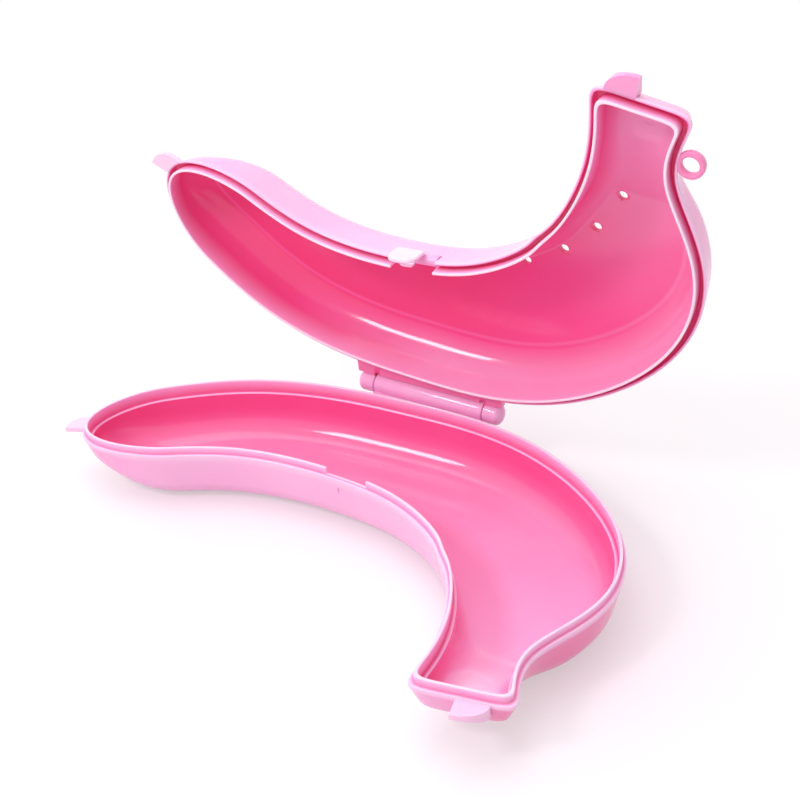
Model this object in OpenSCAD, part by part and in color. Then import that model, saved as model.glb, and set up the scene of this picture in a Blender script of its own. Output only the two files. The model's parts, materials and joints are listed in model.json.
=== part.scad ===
// Hinged carrying case: two moulded halves with one curved, tapering outline,
// a tongue and groove rim, a hinge pin and a swinging latch clip.
// Millimetres, Z up. The base stands on its flat floor and the lid is drawn open.

/* [Spine] */
// Centre line at the tip, along X
tip_x = -102; // [-107:1:-97]
// Centre line at the tip, along Y
tip_y = -43; // [-48:1:-38]
// Centre line past the tip, along X
fore_x = -57; // [-62:1:-52]
// Centre line past the tip, along Y
fore_y = -2; // [-7:1:3]
// Centre line at the latch, along X
middle_x = -3; // [-8:1:2]
// Centre line at the latch, along Y
middle_y = 2; // [-3:1:7]
// Centre line where it starts to turn, along X
bend_x = 34; // [29:1:39]
// Centre line where it starts to turn, along Y
bend_y = 0; // [-5:1:5]
// Centre line at the belly, along X
belly_x = 67; // [62:1:72]
// Centre line at the belly, along Y
belly_y = -20; // [-25:1:-15]
// Centre line past the belly, along X
haunch_x = 78; // [73:1:83]
// Centre line past the belly, along Y
haunch_y = -44; // [-49:1:-39]
// Centre line at the neck, along X
neck_x = 76; // [71:1:81]
// Centre line at the neck, along Y
neck_y = -75; // [-80:1:-70]
// Centre line at the stem end, along X
stem_x = 80.5; // [75.5:0.5:85.5]
// Centre line at the stem end, along Y
stem_y = -98.5; // [-103.5:0.5:-93.5]

/* [Body] */
// Width at the tip, before its end is rounded
tip_w = 39; // [34:1:44]
// Width at the latch
body_w = 52; // [46:1:58]
// Width at the belly
belly_w = 60; // [54:1:64]
// Width that draws the neck in
neck_w = 22; // [18:1:28]
// Width at the stem end
stem_w = 34; // [31:1:40]
// Length of the rounded tip
tip_round = 32; // [24:1:40]
// Length of the squared stem end
stem_round = 14; // [13:1:20]
// Depth of one half, rim to floor
half_depth = 21; // [18:1:26]
// Depth of one half at the tip
tip_depth = 10.5; // [9:0.5:16]
// Depth of one half at the stem end
stem_depth = 13.5; // [12:0.5:15]
// Thickness of walls and floors
wall = 1.9; // [1.4:0.1:2.4]
// Radius between wall and floor on the hinge side
hinge_side_r = 13; // [9:0.5:15]
// Radius between wall and floor on the latch side
latch_side_r = 9.5; // [7:0.5:13]

/* [Rim] */
// Width of the base's shoulder outside the tongue
shoulder = 1.2; // [1:0.1:1.8]
// Thickness of the base's tongue
tongue_t = 1; // [0.8:0.1:1.4]
// Height of the tongue above the parting plane
tongue_h = 2.6; // [2:0.1:3]
// Thickness of the lid's inner lip
lip_t = 1; // [0.8:0.1:1.4]
// Depth of the base's inner ledge below the parting plane
ledge = 2.2; // [1.6:0.1:2.8]
// Upright band of outer wall below the rim
rim_band = 3.8; // [3.5:0.1:4.5]
// Bevel on the tongue's and lip's edges
edge = 0.3; // [0.1:0.05:0.4]
// Gap between the two rims
clearance = 0.3; // [0.2:0.05:0.4]

/* [Hinge] */
// Lid's opening from closed, in degrees
open_angle = 82.5; // [60:0.5:110]
// Diameter of the hinge pin
pin_d = 3; // [2:0.1:4]
// Outer diameter of the hinge barrel and knuckles
knuckle_d = 8; // [7:0.1:9]
// Length of the base's barrel
barrel_l = 45; // [30:1:50]
// Length of each lid knuckle
knuckle_l = 7.2; // [5:0.1:9]
// Pin axis outwards of the wall
pin_reach = 6.5; // [6:0.1:9]
// Pin axis above the parting plane
pin_lift = 1.5; // [0.5:0.1:2.5]
// Free gap round the barrel and past the pin's ends
end_gap = 0.5; // [0.3:0.1:0.8]
// Diameter of the relief at each inner corner of the flange
relief_d = 2; // [1:0.1:3]
// Radial clearance of a turning pin
pin_run = 0.05; // [0.02:0.01:0.1]
// Radial clearance of a seated pin
pin_seat = 0.02; // [0.01:0.01:0.05]

/* [Latch] */
// Width of the notch in the lid's rim
notch_w = 16.5; // [14:0.5:20]
// Width of the clip's plate
clip_w = 11; // [8:0.5:12]
// Thickness of the clip's plate
clip_t = 1.8; // [1.4:0.1:2.2]
// Length of the clip below the parting plane
clip_drop = 6; // [5.5:0.1:7]
// Width of the clip's hook
hook_w = 6; // [4:0.5:7]
// Gap between the clip's plate and the base's wall
clip_gap = 0.6; // [0.5:0.1:0.8]
// Reach of the hook inwards of the clip's plate
hook = 1.2; // [1:0.1:1.4]
// Edge of the catch below the parting plane
catch_drop = 3.6; // [3:0.1:3.8]
// Swing of the clip out of its latched place, in degrees
clip_swing = 7; // [7:1:15]
// Diameter of the clip's pin
clip_pin_d = 1.6; // [1.2:0.1:2]
// Wall of the clip's boss round its pin
clip_wall = 1.1; // [0.9:0.1:1.4]
// Height of the clip's pin above the parting plane
clip_pin_lift = 4.2; // [4:0.1:5]

/* [Fittings] */
// Outer diameter of the key loop
loop_d = 9; // [8:0.5:12]
// Diameter of the key loop's hole
loop_hole_d = 5.4; // [4:0.1:6]
// Thickness of the key loop
loop_t = 2.5; // [2:0.1:2.6]
// Diameter of each vent
vent_d = 3.3; // [2:0.1:4]
// Number of vents
vent_n = 4; // [2:1:5]
// Radius of the arc of vents
vent_arc_r = 66; // [64:0.5:68]
// Middle of the arc of vents, back from the belly along X
vent_back = 58.5; // [57:0.5:60]
// Middle of the arc of vents, away from the belly along Y
vent_drop = 63.7; // [62.5:0.1:65]
// Angle of the first vent on its arc, in degrees
vent_first = 68; // [64:1:72]
// Angle between vents, in degrees
vent_pitch = 14; // [10:0.5:15]
// Outward reach of the thumb tabs
tab_reach = 6.5; // [4:0.5:8]
// Width of each thumb tab
tab_w = 10; // [8:0.5:12]
// Thickness of a thumb tab at its outer edge
tab_edge = 1.8; // [1.5:0.1:3]
// Thickness of a thumb tab at the wall
tab_root = 5; // [4.5:0.5:7]
// Place between the two tabs, from the spine towards the hinge side
tab_middle = -1; // [-3:0.5:3]
// Gap between the tab of the base and that of the lid, and between their nibs
tab_gap = 1; // [0.5:0.1:2]
// Turn of the nibs from the tip's end, in degrees
nib_turn = 11; // [0:1:20]
// Width of each nib at the tip
nib_w = 8; // [6:0.5:9]
// Outward reach of the nibs
nib_reach = 7; // [4:0.5:8]
// Thickness of each nib
nib_t = 1.8; // [1.5:0.1:2.5]

/* [Hidden] */
$fn = 64;
pink = "#F287BC";
steel = "#C9CCD0";

// Overshoot of a cut
cut = 0.5;

// Spine control points: x, y and half width
spine = [
  [tip_x, tip_y, tip_w / 2],
  [fore_x, fore_y, body_w / 2],
  [middle_x, middle_y, body_w / 2],
  [bend_x, bend_y, belly_w / 2],
  [belly_x, belly_y, belly_w / 2],
  [haunch_x, haunch_y, belly_w / 2],
  [neck_x, neck_y, neck_w / 2],
  [stem_x, stem_y, stem_w / 2]
];
spine_n = len(spine) - 1;
tip_chord = norm([fore_x - tip_x, fore_y - tip_y]);
stem_chord = norm([stem_x - neck_x, stem_y - neck_y]);
tip_t = tip_round / tip_chord;
stem_t = spine_n - stem_round / stem_chord;

// Roundness of the two ends: 2 is an ellipse, more is squarer
tip_power = 2;
stem_power = 7;

// Stretch of the spine, in control points, over which the floor rises to each end
tip_rise = 0.6;
stem_rise = 1.7;

// Stretch at the stem end over which the floor is level again
stem_flat = 0.6;

// Places along the spine, in control points
hinge_t = 2.135;
latch_t = 2.105;
loop_station = 6.32;

// Steps of the loft: around each end, along the body, around the floor corner
end_n = 8;
body_n = 30;
arc_n = 6;

parting = half_depth;
rim_w = shoulder + tongue_t + clearance + lip_t;
draft = rim_w - wall;
floor_share = 0.7;
lean_min = 1;
lip_drop = ledge - clearance;
knuckle_r = knuckle_d / 2;
knuckle_dome = knuckle_l / 3;
clip_pin_in = shoulder + clearance;
clip_boss_r = clip_pin_d / 2 + clip_wall;
notch_h = clip_pin_lift + clip_boss_r + clearance;
clip_x = clip_w / 2 + clearance - notch_w / 2;
hook_x = clip_x + (clip_w - hook_w) / 2;
hook_tip = hook - clip_gap;

// A control point, with one more mirrored past each end
function control(i) =
  i < 0 ? 2 * spine[0] - spine[1]
  : i > spine_n ? 2 * spine[spine_n] - spine[spine_n - 1]
  : spine[i];
function segment(t) = min(max(floor(t), 0), spine_n - 1);
function controls(t) = [for (i = [-1:2]) control(segment(t) + i)];

// Uniform cubic B-spline weights and their slopes
function weights(u) = [
  pow(1 - u, 3),
  3 * pow(u, 3) - 6 * u * u + 4,
  -3 * pow(u, 3) + 3 * u * u + 3 * u + 1,
  pow(u, 3)
] / 6;
function slopes(u) = [
  -(1 - u) * (1 - u),
  3 * u * u - 4 * u,
  -3 * u * u + 2 * u + 1,
  u * u
] / 2;

// Spine point with half width, its heading, and the way across to the hinge side
function station(t) = weights(t - segment(t)) * controls(t);
function heading(t) =
  let (d = slopes(t - segment(t)) * controls(t))
  [d.x, d.y] / norm([d.x, d.y]);
function across(t) =
  let (h = heading(t))
  [-h.y, h.x];

// Plan point on the outline, drawn in by a distance, on the hinge side (1) or the latch side (-1)
function side_point(t, side, in) =
  let (s = station(t))
  [s.x, s.y] + side * across(t) * (s.z - in);

// Direction of the outline itself, which turns away from the spine where the width changes
slope_step = 0.01;
function side_heading(t, side) =
  let (d = side_point(t + slope_step, side, 0) - side_point(t - slope_step, side, 0))
  d / norm(d);

// Depth of a half: full along the body and rising to each end
function depth_at(t) =
  let (
    tip = max(1 - t / tip_rise, 0),
    stem = min(max((stem_rise - spine_n + t) / (stem_rise - stem_flat), 0), 1)
  )
  half_depth - (half_depth - tip_depth) * tip * tip
  - (half_depth - stem_depth) * stem * stem * (3 - 2 * stem);

// Rows of the loft from tip to stem: start, step per mm, end share, width share, end length
function end_row(t, step, length, power, i) =
  let (a = 90 * i / end_n)
  [t, step, pow(cos(a), 2 / power), pow(sin(a), 2 / power), length];
rows = concat(
  [for (i = [0:end_n]) end_row(tip_t, -1 / tip_chord, tip_round, tip_power, i)],
  [for (i = [1:body_n - 1]) [tip_t + (stem_t - tip_t) * i / body_n, 0, 0, 1, 0]],
  [for (i = [end_n:-1:0]) end_row(stem_t, 1 / stem_chord, stem_round, stem_power, i)]
);
row_n = len(rows) - 1;
ring_n = 2 * row_n;
sides = [for (j = [0:ring_n - 1]) j <= row_n ? 1 : -1];
around = [for (j = [0:ring_n - 1]) rows[j <= row_n ? j : ring_n - j]];

// Place along the spine of a row that is drawn in by a distance
function row_t(row, in) = row[0] + row[1] * row[2] * (row[4] - in);
function row_point(row, side, in, z) =
  let (
    t = row_t(row, in),
    s = station(t),
    p = [s.x, s.y] + side * across(t) * (s.z - in) * row[3]
  )
  [p.x, p.y, z];

// Section of a half as [in from the outline, down from the parting plane]
function corner_r(row, side) =
  (hinge_side_r + latch_side_r + side * row[3] * (hinge_side_r - latch_side_r)) / 2;
function corner_reach(row, side) =
  min(corner_r(row, side), floor_share * station(row_t(row, 0)).z);
function corner_drop(row, side, d) = min(corner_r(row, side), d - rim_band - lean_min);
function outer_corner(row, side) = [
  for (i = [0:arc_n])
    let (
      a = 90 * i / arc_n,
      in = draft + corner_reach(row, side) * (1 - sin(a)),
      d = depth_at(row_t(row, in))
    )
    [in, d - corner_drop(row, side, d) * (1 - cos(a))]
];
function inner_corner(row, side) = [
  for (i = [arc_n:-1:0])
    let (
      a = 90 * i / arc_n,
      reach = corner_reach(row, side),
      in = draft + reach - (reach - wall) * sin(a),
      d = depth_at(row_t(row, in)),
      drop = corner_drop(row, side, d)
    )
    [in, d - drop + (drop - wall) * cos(a)]
];
tongue_in = shoulder + tongue_t;
base_rim = [
  [0, rim_band],
  [0, 0],
  [shoulder, 0],
  [shoulder, edge - tongue_h],
  [shoulder + edge, -tongue_h],
  [tongue_in - edge, -tongue_h],
  [tongue_in, edge - tongue_h],
  [tongue_in, ledge],
  [rim_w, ledge]
];
lip_in = tongue_in + clearance;
lid_rim = [
  [0, rim_band],
  [0, clearance],
  [shoulder - clearance, clearance],
  [shoulder - clearance, tongue_h + clearance],
  [lip_in, tongue_h + clearance],
  [lip_in, edge - lip_drop],
  [lip_in + edge, -lip_drop],
  [rim_w - edge, -lip_drop],
  [rim_w, edge - lip_drop]
];
function section(row, side, rim) =
  concat(outer_corner(row, side), rim, inner_corner(row, side));

// One half, drawn with its floor down: rings of the section carried round the outline
module half(rim) {
  sections = [for (j = [0:ring_n - 1]) section(around[j], sides[j], rim)];
  ring_count = len(sections[0]);
  points = [
    for (k = [0:ring_count - 1], j = [0:ring_n - 1])
      let (s = sections[j][k])
      row_point(around[j], sides[j], s[0], parting - s[1])
  ];
  skin = [
    for (k = [0:ring_count - 2], j = [0:ring_n - 1])
      let (
        a = k * ring_n + j,
        b = k * ring_n + (j + 1) % ring_n
      )
      each [[a, b, b + ring_n], [a, b + ring_n, a + ring_n]]
  ];
  top = (ring_count - 1) * ring_n;
  strips = [
    for (j = [1:row_n - 2])
      each [[j, ring_n - j, ring_n - j - 1], [j, ring_n - j - 1, j + 1]]
  ];
  bottom = concat([[0, ring_n - 1, 1]], strips, [[row_n - 1, row_n + 1, row_n]]);
  inside = [for (f = bottom) [f[2] + top, f[1] + top, f[0] + top]];
  polyhedron(points, concat(skin, bottom, inside));
}

// Hinge place: pin axis along X, outwards of the wall
hinge_wall = side_point(hinge_t, 1, 0);
hinge_x = hinge_wall.x;
hinge_y = hinge_wall.y + pin_reach;
hinge_z = parting + pin_lift;
hinge_half = barrel_l / 2 + clearance + knuckle_l;

module along_hinge(from, to, r) {
  translate([hinge_x + from, hinge_y, hinge_z])
    rotate([0, 90, 0])
      cylinder(h = to - from, r = r);
}

// Knuckle with a rounded outer end
module knuckle(side) {
  bulge = [
    for (a = [0:15:75])
      [knuckle_r * cos(a), knuckle_l - knuckle_dome * (1 - sin(a))]
  ];
  translate([hinge_x + side * (barrel_l / 2 + clearance), hinge_y, hinge_z])
    rotate([0, side * 90, 0])
      rotate_extrude()
        polygon(concat([[0, 0], [knuckle_r, 0]], bulge, [[0, knuckle_l]]));
}

// Plan of the strip from the hinge side's outline, drawn in by a distance, out to a line along X
module hinge_strip(in, reach) {
  inner = [for (i = [-8:8]) side_point(hinge_t + i / 8, 1, in)];
  polygon(concat(inner, [[inner[16].x, reach], [inner[0].x, reach]]));
}

// Web that carries the base's barrel on the wall and is rooted in its middle
module hinge_web() {
  low = parting - knuckle_d;
  top = parting - clearance;
  intersection() {
    linear_extrude(height = parting)
      hinge_strip((draft + tongue_in) / 2, hinge_y);
    translate([hinge_x - barrel_l / 2, 0, 0])
      rotate([90, 0, 90])
        linear_extrude(height = barrel_l)
          polygon([
            [0, low],
            [0, top],
            [hinge_y, top],
            [hinge_y, hinge_z - knuckle_r],
            [hinge_wall.y - lip_in, low]
          ]);
  }
}

// Flange along the lid's rim that carries the two knuckles
flange_t = tongue_h;
module hinge_flange() {
  reach = hinge_y - knuckle_r - end_gap;
  translate([0, 0, parting + clearance])
    intersection() {
      linear_extrude(height = flange_t)
        hinge_strip((shoulder - clearance) / 2, reach);
      translate([hinge_x - hinge_half, 0, -cut])
        cube([2 * hinge_half, reach, flange_t + 2 * cut]);
    }
  arm = knuckle_l - knuckle_dome;
  for (side = [-1, 1])
    translate([
      hinge_x + side * (barrel_l / 2 + clearance) - (side < 0 ? arm : 0),
      reach - cut,
      parting + clearance
    ])
      cube([arm, hinge_y - reach + cut, flange_t]);
}

// Local frame of the latch: X along the rim, Y inwards, at the outline
module at_latch() {
  p = side_point(latch_t, -1, 0);
  h = side_heading(latch_t, -1);
  translate([p.x, p.y, parting])
    rotate([0, 0, atan2(h.y, h.x)])
      children();
}
module along_latch(half_length, r) {
  translate([-half_length, clip_pin_in, clip_pin_lift])
    rotate([0, 90, 0])
      cylinder(h = 2 * half_length, r = r);
}
module latch_block(middle, width, from, to) {
  translate([middle - width / 2, from.x, from.y])
    cube([width, to.x - from.x, to.y - from.y]);
}

// Local frame of the stem end: X towards the hinge side, Y outwards
module at_stem() {
  a = across(spine_n);
  translate([stem_x, stem_y, parting])
    rotate([0, 0, atan2(a.y, a.x)])
      mirror([0, 1, 0])
        children();
}

// Quarter-oval thumb tab, flat on top and thicker at the wall, rooted deeper below the groove
module tab(side) {
  root = shoulder / 2;
  deep = (tongue_in + rim_w) / 2;
  oval = [for (a = [0:10:90]) [side * tab_w * sin(a), tab_reach * cos(a)]];
  translate([tab_middle + min(side, 0) * tab_gap, 0, 0])
    intersection() {
      translate([0, 0, -tab_root])
        linear_extrude(height = tab_root)
          polygon(concat([[0, -deep]], oval, [[side * tab_w, -deep]]));
      translate([-tab_w - cut, 0, 0])
        rotate([90, 0, 90])
          linear_extrude(height = 2 * (tab_w + cut))
            polygon([
              [-root, 0],
              [tab_reach, 0],
              [tab_reach, -tab_edge],
              [0, -tab_root],
              [-deep, -tab_root],
              [-deep, -rim_band],
              [-root, -rim_band]
            ]);
    }
}

// Quarter-oval nib at the tip, square to the outline and cut off inside the wall
module nib(side) {
  u = cos(nib_turn);
  v = sin(nib_turn);
  root = row_point([tip_t, -1 / tip_chord, u, v, tip_round], 1, 0, 0);
  out = -heading(0) * u / tip_round + across(0) * v / (tip_w / 2);
  oval = [for (a = [0:10:90]) [nib_reach * cos(a), -side * nib_w * sin(a)]];
  inside = [
    for (j = [0:ring_n - 1])
      let (p = row_point(around[j], sides[j], shoulder / 2, 0))
      [p.x, p.y]
  ];
  linear_extrude(height = nib_t)
    difference() {
      translate([root.x, root.y])
        rotate(atan2(out.y, out.x))
          translate([0, -min(side, 0) * tab_gap])
            polygon(concat([[-nib_w, 0]], oval, [[-nib_w, -side * nib_w]]));
      polygon(inside);
    }
}

module base_shell() {
  color(pink)
    difference() {
      union() {
        half(base_rim);
        hinge_web();
        along_hinge(-barrel_l / 2, barrel_l / 2, knuckle_r);
        at_stem()
          translate([0, 0, -clearance])
            tab(1);
        translate([0, 0, parting - clearance - nib_t])
          nib(1);
      }
      along_hinge(-barrel_l, barrel_l, pin_d / 2 + pin_seat);
      at_latch() {
        latch_block(0, notch_w, [-cut, 0], [tongue_in + clearance, tongue_h + cut]);
        latch_block(hook_x, hook_w + 2 * clearance, [-cut, -clip_drop - clearance], [hook_tip + clearance, -catch_drop]);
      }
    }
}

// Everything on the lid is placed as if closed, and then opened about the pin
module opened() {
  translate([0, hinge_y, hinge_z])
    rotate([-open_angle, 0, 0])
      translate([0, -hinge_y, -hinge_z])
        children();
}

module lid_shell() {
  loop_at = side_point(loop_station, 1, -loop_d / 2 + shoulder - clearance);
  color(pink)
    opened()
      difference() {
        union() {
          translate([0, 0, 2 * parting])
            mirror([0, 0, 1])
              half(lid_rim);
          hinge_flange();
          knuckle(-1);
          knuckle(1);
          at_stem()
            translate([0, 0, clearance])
              mirror([0, 0, 1])
                tab(-1);
          translate([0, 0, parting + clearance])
            nib(-1);
          translate([loop_at.x, loop_at.y, parting + clearance])
            cylinder(h = loop_t, d = loop_d);
        }
        translate([loop_at.x, loop_at.y, parting + clearance - cut])
          cylinder(h = loop_t + 2 * cut, d = loop_hole_d);
        along_hinge(-2 * hinge_half, hinge_half - knuckle_dome, pin_d / 2 + pin_run);
        at_latch() {
          latch_block(0, notch_w, [-cut, -ledge - cut], [rim_w + cut, notch_h]);
          along_latch(notch_w / 2 + clip_pin_d + pin_seat, clip_pin_d / 2 + pin_seat);
        }
        for (i = [0:vent_n - 1])
          translate([belly_x - vent_back, belly_y - vent_drop, parting + half_depth / 2])
            rotate([0, 0, vent_first - i * vent_pitch])
              translate([vent_arc_r, 0, 0])
                cylinder(h = half_depth, d = vent_d);
        for (side = [-1, 1])
          translate([
            hinge_x + side * (barrel_l / 2 - relief_d / 4),
            hinge_y - knuckle_r - end_gap,
            parting
          ])
            cylinder(h = flange_t + 2 * cut, d = relief_d);
      }
}

module hinge_pin() {
  color(steel)
    along_hinge(end_gap - hinge_half, hinge_half - knuckle_dome - end_gap, pin_d / 2);
}

// Clip's plate seen from the front, with rounded lower corners
module clip_front() {
  r = clip_w / 3;
  deep = clip_pin_in + clip_gap + clip_t + cut;
  translate([clip_x, -clip_gap - clip_t - cut, 0]) {
    translate([-clip_w / 2, 0, r - clip_drop])
      cube([clip_w, deep, clip_drop + notch_h]);
    translate([r - clip_w / 2, 0, -clip_drop])
      cube([clip_w - 2 * r, deep, 2 * r]);
    for (side = [-1, 1])
      translate([side * (clip_w / 2 - r), 0, r - clip_drop])
        rotate([-90, 0, 0])
          cylinder(h = deep, r = r);
  }
}

// A profile in the latch's frame, drawn inwards and upwards, carried along the rim
module clip_profile(middle, width, profile) {
  translate([middle - width / 2, 0, 0])
    rotate([90, 0, 90])
      linear_extrude(height = width)
        polygon(profile);
}

// Clip: boss on its pin, plate outside the wall with a lip for the finger, and an inward hook
module latch_clip() {
  back = -clip_gap;
  front = back - clip_t;
  hook_top = -catch_drop - clearance;
  color(pink)
    opened()
      at_latch()
        translate([0, clip_pin_in, clip_pin_lift])
          rotate([-clip_swing, 0, 0])
            translate([0, -clip_pin_in, -clip_pin_lift])
              difference() {
                union() {
                  along_latch(notch_w / 2 - clearance, clip_boss_r);
                  intersection() {
                    clip_front();
                    clip_profile(clip_x, clip_w, [
                      [clip_pin_in, clip_pin_lift + clip_boss_r],
                      [clip_pin_in, clip_pin_lift - clip_boss_r],
                      [back, clip_pin_lift - clip_boss_r],
                      [back, -clip_drop],
                      [front, -clip_drop],
                      [front - edge, -clip_drop + edge],
                      [front, -clip_drop + clip_t],
                      [front, clip_pin_lift]
                    ]);
                  }
                  clip_profile(hook_x, hook_w, [
                    [back - edge, hook_top],
                    [hook_tip, hook_top],
                    [hook_tip, hook_top - hook],
                    [back - edge, -clip_drop + edge]
                  ]);
                }
                along_latch(notch_w, clip_pin_d / 2 + pin_run);
              }
}

module latch_pin() {
  color(steel)
    opened()
      at_latch()
        along_latch(notch_w / 2 + clip_pin_d, clip_pin_d / 2);
}

base_shell();
lid_shell();
hinge_pin();
latch_clip();
latch_pin();
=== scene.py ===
"""Looks of a hinged carrying case: two moulded halves with one curved, tapering outline.

The halves are lofts of one section round the outline. The base has a tongue on its rim and the lid a groove,
a pinned hinge joins them on the outer side of the curve and a swinging clip latches them on the inner side.
Sizes are in millimetres in the case's own frame and become metres as a mesh is made.
"""

import json
import logging
from dataclasses import dataclass, field, fields
from enum import Enum

import bmesh
import bpy
import numpy as np
from mathutils import Matrix

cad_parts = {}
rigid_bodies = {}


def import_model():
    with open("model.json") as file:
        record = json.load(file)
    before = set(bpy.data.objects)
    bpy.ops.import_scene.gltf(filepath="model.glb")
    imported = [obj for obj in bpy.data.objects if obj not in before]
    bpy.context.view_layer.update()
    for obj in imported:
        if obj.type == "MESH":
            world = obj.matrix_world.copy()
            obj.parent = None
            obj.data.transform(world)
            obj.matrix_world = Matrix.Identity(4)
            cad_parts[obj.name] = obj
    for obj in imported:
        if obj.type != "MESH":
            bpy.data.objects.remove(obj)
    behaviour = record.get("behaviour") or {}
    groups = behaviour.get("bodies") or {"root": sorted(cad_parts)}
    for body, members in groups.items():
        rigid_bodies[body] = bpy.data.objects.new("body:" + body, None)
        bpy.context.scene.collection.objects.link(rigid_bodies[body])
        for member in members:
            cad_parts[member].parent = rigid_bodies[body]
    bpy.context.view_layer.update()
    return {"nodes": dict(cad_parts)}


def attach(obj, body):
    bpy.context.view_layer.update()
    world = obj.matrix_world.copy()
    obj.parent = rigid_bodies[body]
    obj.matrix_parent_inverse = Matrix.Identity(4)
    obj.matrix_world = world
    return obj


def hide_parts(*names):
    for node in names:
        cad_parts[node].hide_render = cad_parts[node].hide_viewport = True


LOG = logging.getLogger("case")
Array = np.ndarray
Faces = list[tuple[int, ...]]
MM = 0.001
SHARP_DEG = 38.0
MERGE_MM = 0.002
# Painted paleness of pieces that get none of their own: a middling lit pink.
PLAIN_PAINTED_LIGHT = 0.72
WHITE = (1.0, 1.0, 1.0, 1.0)

for stray in list(bpy.data.objects):
    bpy.data.objects.remove(stray)
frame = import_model()


class Side(Enum):
    """The two long sides of the outline, with the sign of the way across to each."""

    HINGE = 1
    LATCH = -1


class End(Enum):
    """The two ends of the case, with the sign of the way along to each."""

    TIP = -1
    STEM = 1


class Zone(Enum):
    """Stretches of the spine at the latch, counted from the tip."""

    NOTCH_TIP = 1
    SLOT = 2
    NOTCH_STEM = 3


class Body(Enum):
    """The bodies that the pieces ride on."""

    BASE = "base"
    LID = "lid"
    LATCH = "latch"


def linear(code: str) -> tuple[float, float, float, float]:
    """Turn an sRGB hex colour into linear red, green, blue and alpha.

    Args:
        code: Six hex digits after a hash sign.

    Returns:
        The linear colour, with alpha 1.
    """
    channel = np.array([int(code[i : i + 2], 16) for i in (1, 3, 5)]) / 255
    value = np.where(channel <= 0.04045, channel / 12.92, ((channel + 0.055) / 1.055) ** 2.4)
    return (*(float(v) for v in value), 1.0)


def add_node(
    tree: bpy.types.NodeTree, kind: str, settings: dict | None = None, links: dict | None = None
) -> bpy.types.Node:
    """Add a shader node, set its properties and sockets, and link its inputs.

    Args:
        tree: Node tree that takes the node.
        kind: Node type name.
        settings: Property names, or input socket names, with their values.
        links: Input socket names or numbers with the output sockets that feed them.

    Returns:
        The new node.
    """
    node = tree.nodes.new(kind)
    for name, value in (settings or {}).items():
        if name in node.inputs:
            node.inputs[name].default_value = value
        else:
            setattr(node, name, value)
    for name, source in (links or {}).items():
        tree.links.new(source, node.inputs[name])
    return node


def new_material(name: str) -> tuple[bpy.types.Material, bpy.types.NodeTree, bpy.types.Node]:
    """Make an empty node material with its output node.

    Args:
        name: Name of the material.

    Returns:
        The material, its node tree and its output node.
    """
    material = bpy.data.materials.new(name)
    material.use_nodes = True
    material.node_tree.nodes.clear()
    return material, material.node_tree, add_node(material.node_tree, "ShaderNodeOutputMaterial")


@dataclass(frozen=True)
class MouldedPolypropylene:
    """Glossy injection-moulded polypropylene, tinted right through and slightly translucent.

    It gives the eye a sharp sheen. Light and shade are painted into its colour: pale edges, rims and outer
    walls stand for lit places and painted highlights, and a deep colour inside the hollow stands for shade.
    The mesh says how pale each place is drawn in a point attribute, from 0 to 1.
    """

    name: str
    roughness: float = 0.09
    roughness_spread: tuple[float, float] = (-0.02, 0.05)
    # Colours from the deepest to the palest: the one pink as shaded and as lit, for the painted light and
    # shade.
    stops: tuple[tuple[float, str], ...] = (
        (0.0, "#F04D89"),
        (0.12, "#F4599C"),
        (0.35, "#F47FB2"),
        (0.7, "#FBAEDC"),
        (1.0, "#FFE4F4"),
    )
    flow_mm: float = 34.0
    flow_drift: float = 0.05
    ripple_mm: float = 1.4
    ripple_depth_mm: float = 0.05
    ripple_strength: float = 0.04
    ior: float = 1.49
    specular: float = 0.4
    glow: float = 0.3
    glow_mm: float = 2.5
    glow_spread: tuple[float, float, float] = (1.0, 0.35, 0.6)

    def build(self) -> bpy.types.Material:
        """Build the node material.

        The painted light and shade, with a slow random drift, picks the colour. A fine ripple varies the
        sheen and the surface.

        Returns:
            The finished material.
        """
        material, tree, output = new_material(self.name)
        place = add_node(tree, "ShaderNodeTexCoord").outputs["Object"]
        # The point attribute holds the painted light and shade, as paleness from 0 to 1.
        tone = add_node(tree, "ShaderNodeAttribute", {"attribute_name": "tone"})
        slow = {"Scale": 1 / (self.flow_mm * MM), "Detail": 2.0, "Roughness": 0.45}
        flow = add_node(tree, "ShaderNodeTexNoise", slow, {"Vector": place})
        drift = {"To Min": -self.flow_drift, "To Max": self.flow_drift}
        change = add_node(tree, "ShaderNodeMapRange", drift, {"Value": flow.outputs["Fac"]})
        both = {0: tone.outputs["Fac"], 1: change.outputs["Result"]}
        shade = add_node(tree, "ShaderNodeMath", {"operation": "ADD"}, both)
        tint = add_node(tree, "ShaderNodeValToRGB", {}, {"Fac": shade.outputs["Value"]})
        ramp = tint.color_ramp.elements
        while len(ramp) < len(self.stops):
            ramp.new(0.5)
        for element, (position, code) in zip(ramp, self.stops):
            element.position, element.color = position, linear(code)
        fine = {"Scale": 1 / (self.ripple_mm * MM), "Detail": 3.0, "Roughness": 0.5}
        ripple = add_node(tree, "ShaderNodeTexNoise", fine, {"Vector": place}).outputs["Fac"]
        low, high = (self.roughness + more for more in self.roughness_spread)
        sheen = add_node(tree, "ShaderNodeMapRange", {"To Min": low, "To Max": high}, {"Value": ripple})
        relief = {"Strength": self.ripple_strength, "Distance": self.ripple_depth_mm * MM}
        bump = add_node(tree, "ShaderNodeBump", relief, {"Height": ripple})
        plastic = add_node(
            tree,
            "ShaderNodeBsdfPrincipled",
            {
                "IOR": self.ior,
                "Specular IOR Level": self.specular,
                "Subsurface Weight": self.glow,
                "Subsurface Scale": self.glow_mm * MM,
                "Subsurface Radius": self.glow_spread,
            },
            {
                "Base Color": tint.outputs["Color"],
                "Roughness": sheen.outputs["Result"],
                "Normal": bump.outputs["Normal"],
            },
        )
        tree.links.new(plastic.outputs["BSDF"], output.inputs["Surface"])
        return material


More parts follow.
